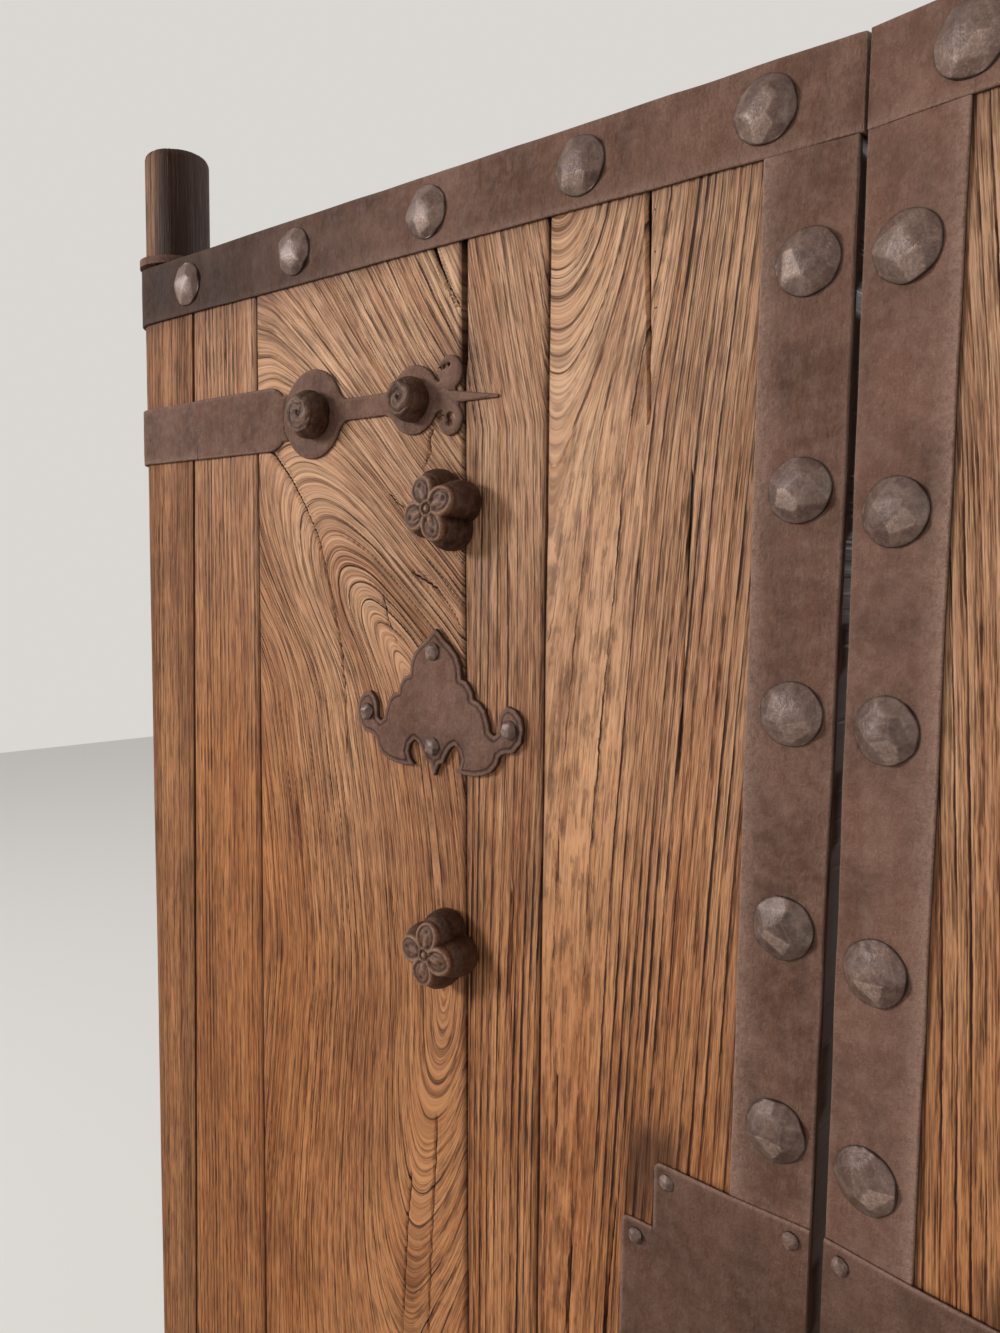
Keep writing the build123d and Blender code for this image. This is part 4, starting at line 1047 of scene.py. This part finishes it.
def plain_wood(name, light, dark, along):
    """Sawn wood of the pieces at the back; along is the axis of its grain."""
    n = Nodes(bpy.data.materials.new(name))
    scale = [34.0, 34.0, 34.0]
    scale[along] = 1.6
    stretched = n.put("Mapping", {"Vector": n.put("TexCoord", out=3), "Scale": tuple(scale)})
    wide = n.noise(stretched, 1.0, 5.0, 0.6)
    fine = n.noise(stretched, 7.0, 3.0, 0.6)
    light, dark = srgb(*light), srgb(*dark)
    base = n.mix(n.ranged(wide, 0.35, 0.65), dark, light)
    base = n.mix(n.ranged(fine, 0.52, 0.7, 0.0, 0.6), base, dark)
    height = n.plus(n.times(fine, -1.0), n.times(wide, -1.5))
    n.surface(Base_Color=base, Roughness=0.62, Normal=n.bump(height, 0.6, 0.0016),
              Specular_IOR_Level=0.35)
    return n.owner


# Colour the wood is multiplied by, for its warmth and for painted falloff of light.
WARMTH_AND_FALLOFF = (0.78, 0.53, 0.29, 1.0)
DEEP = (0.004, 0.002, 0.0015, 1.0)
# Near black, used for soot and for painted shade.
SOOT_AND_SHADE = (0.012, 0.006, 0.004, 1.0)
OLD_WOOD = ((136, 98, 68), (78, 52, 36))
BOARD = grained_wood("board_wood", (236, 189, 150), (183, 128, 90), (58, 28, 16), (72, 44, 31))
STILE = grained_wood("stile_wood", (206, 156, 112), (152, 100, 64), (60, 32, 19), (46, 23, 15))
LEDGE = plain_wood("ledge_wood", (168, 120, 80), (104, 68, 44), 0)
POST = plain_wood("post_wood", *OLD_WOOD, 2)
SILL = plain_wood("sill_wood", *OLD_WOOD, 0)
STRAP_METAL = forged_iron("strap_iron", 0.02, 0.58, 1.1, 0.1,
                          (86, 61, 51), (121, 89, 75), (160, 130, 114), (108, 74, 59))
STUD_METAL = forged_iron("stud_iron", 0.14, 0.38, 0.4, 0.4,
                         (62, 43, 36), (92, 67, 57), (178, 150, 134), (84, 58, 46))
KNOB_METAL = forged_iron("knob_iron", 0.02, 0.46, 0.5, 0.2,
                         (46, 26, 17), (82, 50, 34), (174, 132, 106), (72, 41, 26))

for side in ("left", "right"):
    make_stile(side, STILE)
    for index in (1, 2, 3, 4):
        make_board(side, index, BOARD)
    for make in (make_straps, make_latch_plate, make_hinges, make_ornament):
        make(side, STRAP_METAL)
    make_studs(side, STUD_METAL)
    make_knobs(side, KNOB_METAL)

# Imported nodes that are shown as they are, by the words in their names.
FINISHES = ((STUD_METAL, ("ledge_nails", "roves", "strap_nails", "spikes")), (LEDGE, ("ledge",)),
            (POST, ("gate_post",)), (SILL, ("threshold", "post_pegs")),
            (STRAP_METAL, ("pivot_cups", "pivot_keepers")))
for node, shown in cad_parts.items():
    for finish, words in FINISHES:
        if any(word in node for word in words):
            shown.data.materials.clear()
            shown.data.materials.append(finish)
            break


# ---- stage ----
floor_mesh = bpy.data.meshes.new("floor")
floor_mesh.from_pydata([(-9, -9, 0), (9, -9, 0), (9, 9, 0), (-9, 9, 0)], [], [(0, 1, 2, 3)])
pale = bpy.data.materials.new("pale_floor")
n = Nodes(pale)
glow = n.times(n.put("LightPath", out="Is Camera Ray"), 0.24)
n.surface(Base_Color=(0.5, 0.485, 0.46, 1.0), Roughness=0.85, Specular_IOR_Level=0.2,
          Emission_Color=(1.0, 0.97, 0.93, 1.0), Emission_Strength=glow)
floor_mesh.materials.append(pale)
placed("floor", floor_mesh)


def softbox(name, at, aim, size, watts):
    lamp = bpy.data.lights.new(name, "AREA")
    lamp.shape = "RECTANGLE"
    lamp.size, lamp.size_y = size
    lamp.energy = watts
    made = placed(name, lamp)
    made.location = at
    made.rotation_euler = (Vector(aim) - Vector(at)).to_track_quat("-Z", "Y").to_euler()


softbox("key", (-4.8, -5.0, 3.3), (-0.3, 0.0, 1.2), (1.8, 1.8), 350)
softbox("fill", (3.5, -4.5, 2.4), (0.0, 0.0, 1.2), (2.6, 2.6), 50)
softbox("rear", (1.5, 6.5, 4.5), (0.0, 0.0, 1.0), (4.0, 4.0), 300)

world = bpy.data.worlds.new("studio")
n = Nodes(world)
seen = n.tree.nodes.new("ShaderNodeLightPath").outputs
backdrop = seen["Is Camera Ray"]
for kind in ("Is Glossy Ray", "Is Transmission Ray"):
    backdrop = n.math("MAXIMUM", backdrop, seen[kind])
light = n.tree.nodes["Background"]
n.feed(light, {0: (1.0, 0.985, 0.965, 1.0), 1: 0.36})
sky = n.put("Background", {0: (0.70, 0.68, 0.65, 1.0), 1: 1.0})
n.feed(n.tree.nodes["World Output"],
       {0: n.put("MixShader", {0: backdrop, 1: light.outputs[0], 2: sky})})
bpy.context.scene.world = world
bpy.context.scene.view_settings.view_transform = "Standard"

# ---- camera ----
# Eye height 1.6 m, close to the meeting edge, turned toward the left leaf's pivot.
EYE = (0.3714, -0.6794, 1.6)
FOCAL, SENSOR = 27.527, 36.0
YAW, DIP, ROLL = (math.radians(v) for v in (44.6, 5.029, 0.673))
turned = (Matrix.Rotation(YAW, 4, "Z") @ Matrix.Rotation(math.pi / 2 - DIP, 4, "X")
          @ Matrix.Rotation(ROLL, 4, "Z"))
lens = bpy.data.cameras.new("photo_camera")
lens.sensor_width, lens.lens = SENSOR, FOCAL
lens.clip_start, lens.clip_end = 0.02, 60.0
camera = placed("photo_camera", lens)
camera.matrix_world = Matrix.Translation(EYE) @ turned
bpy.context.scene.camera = camera
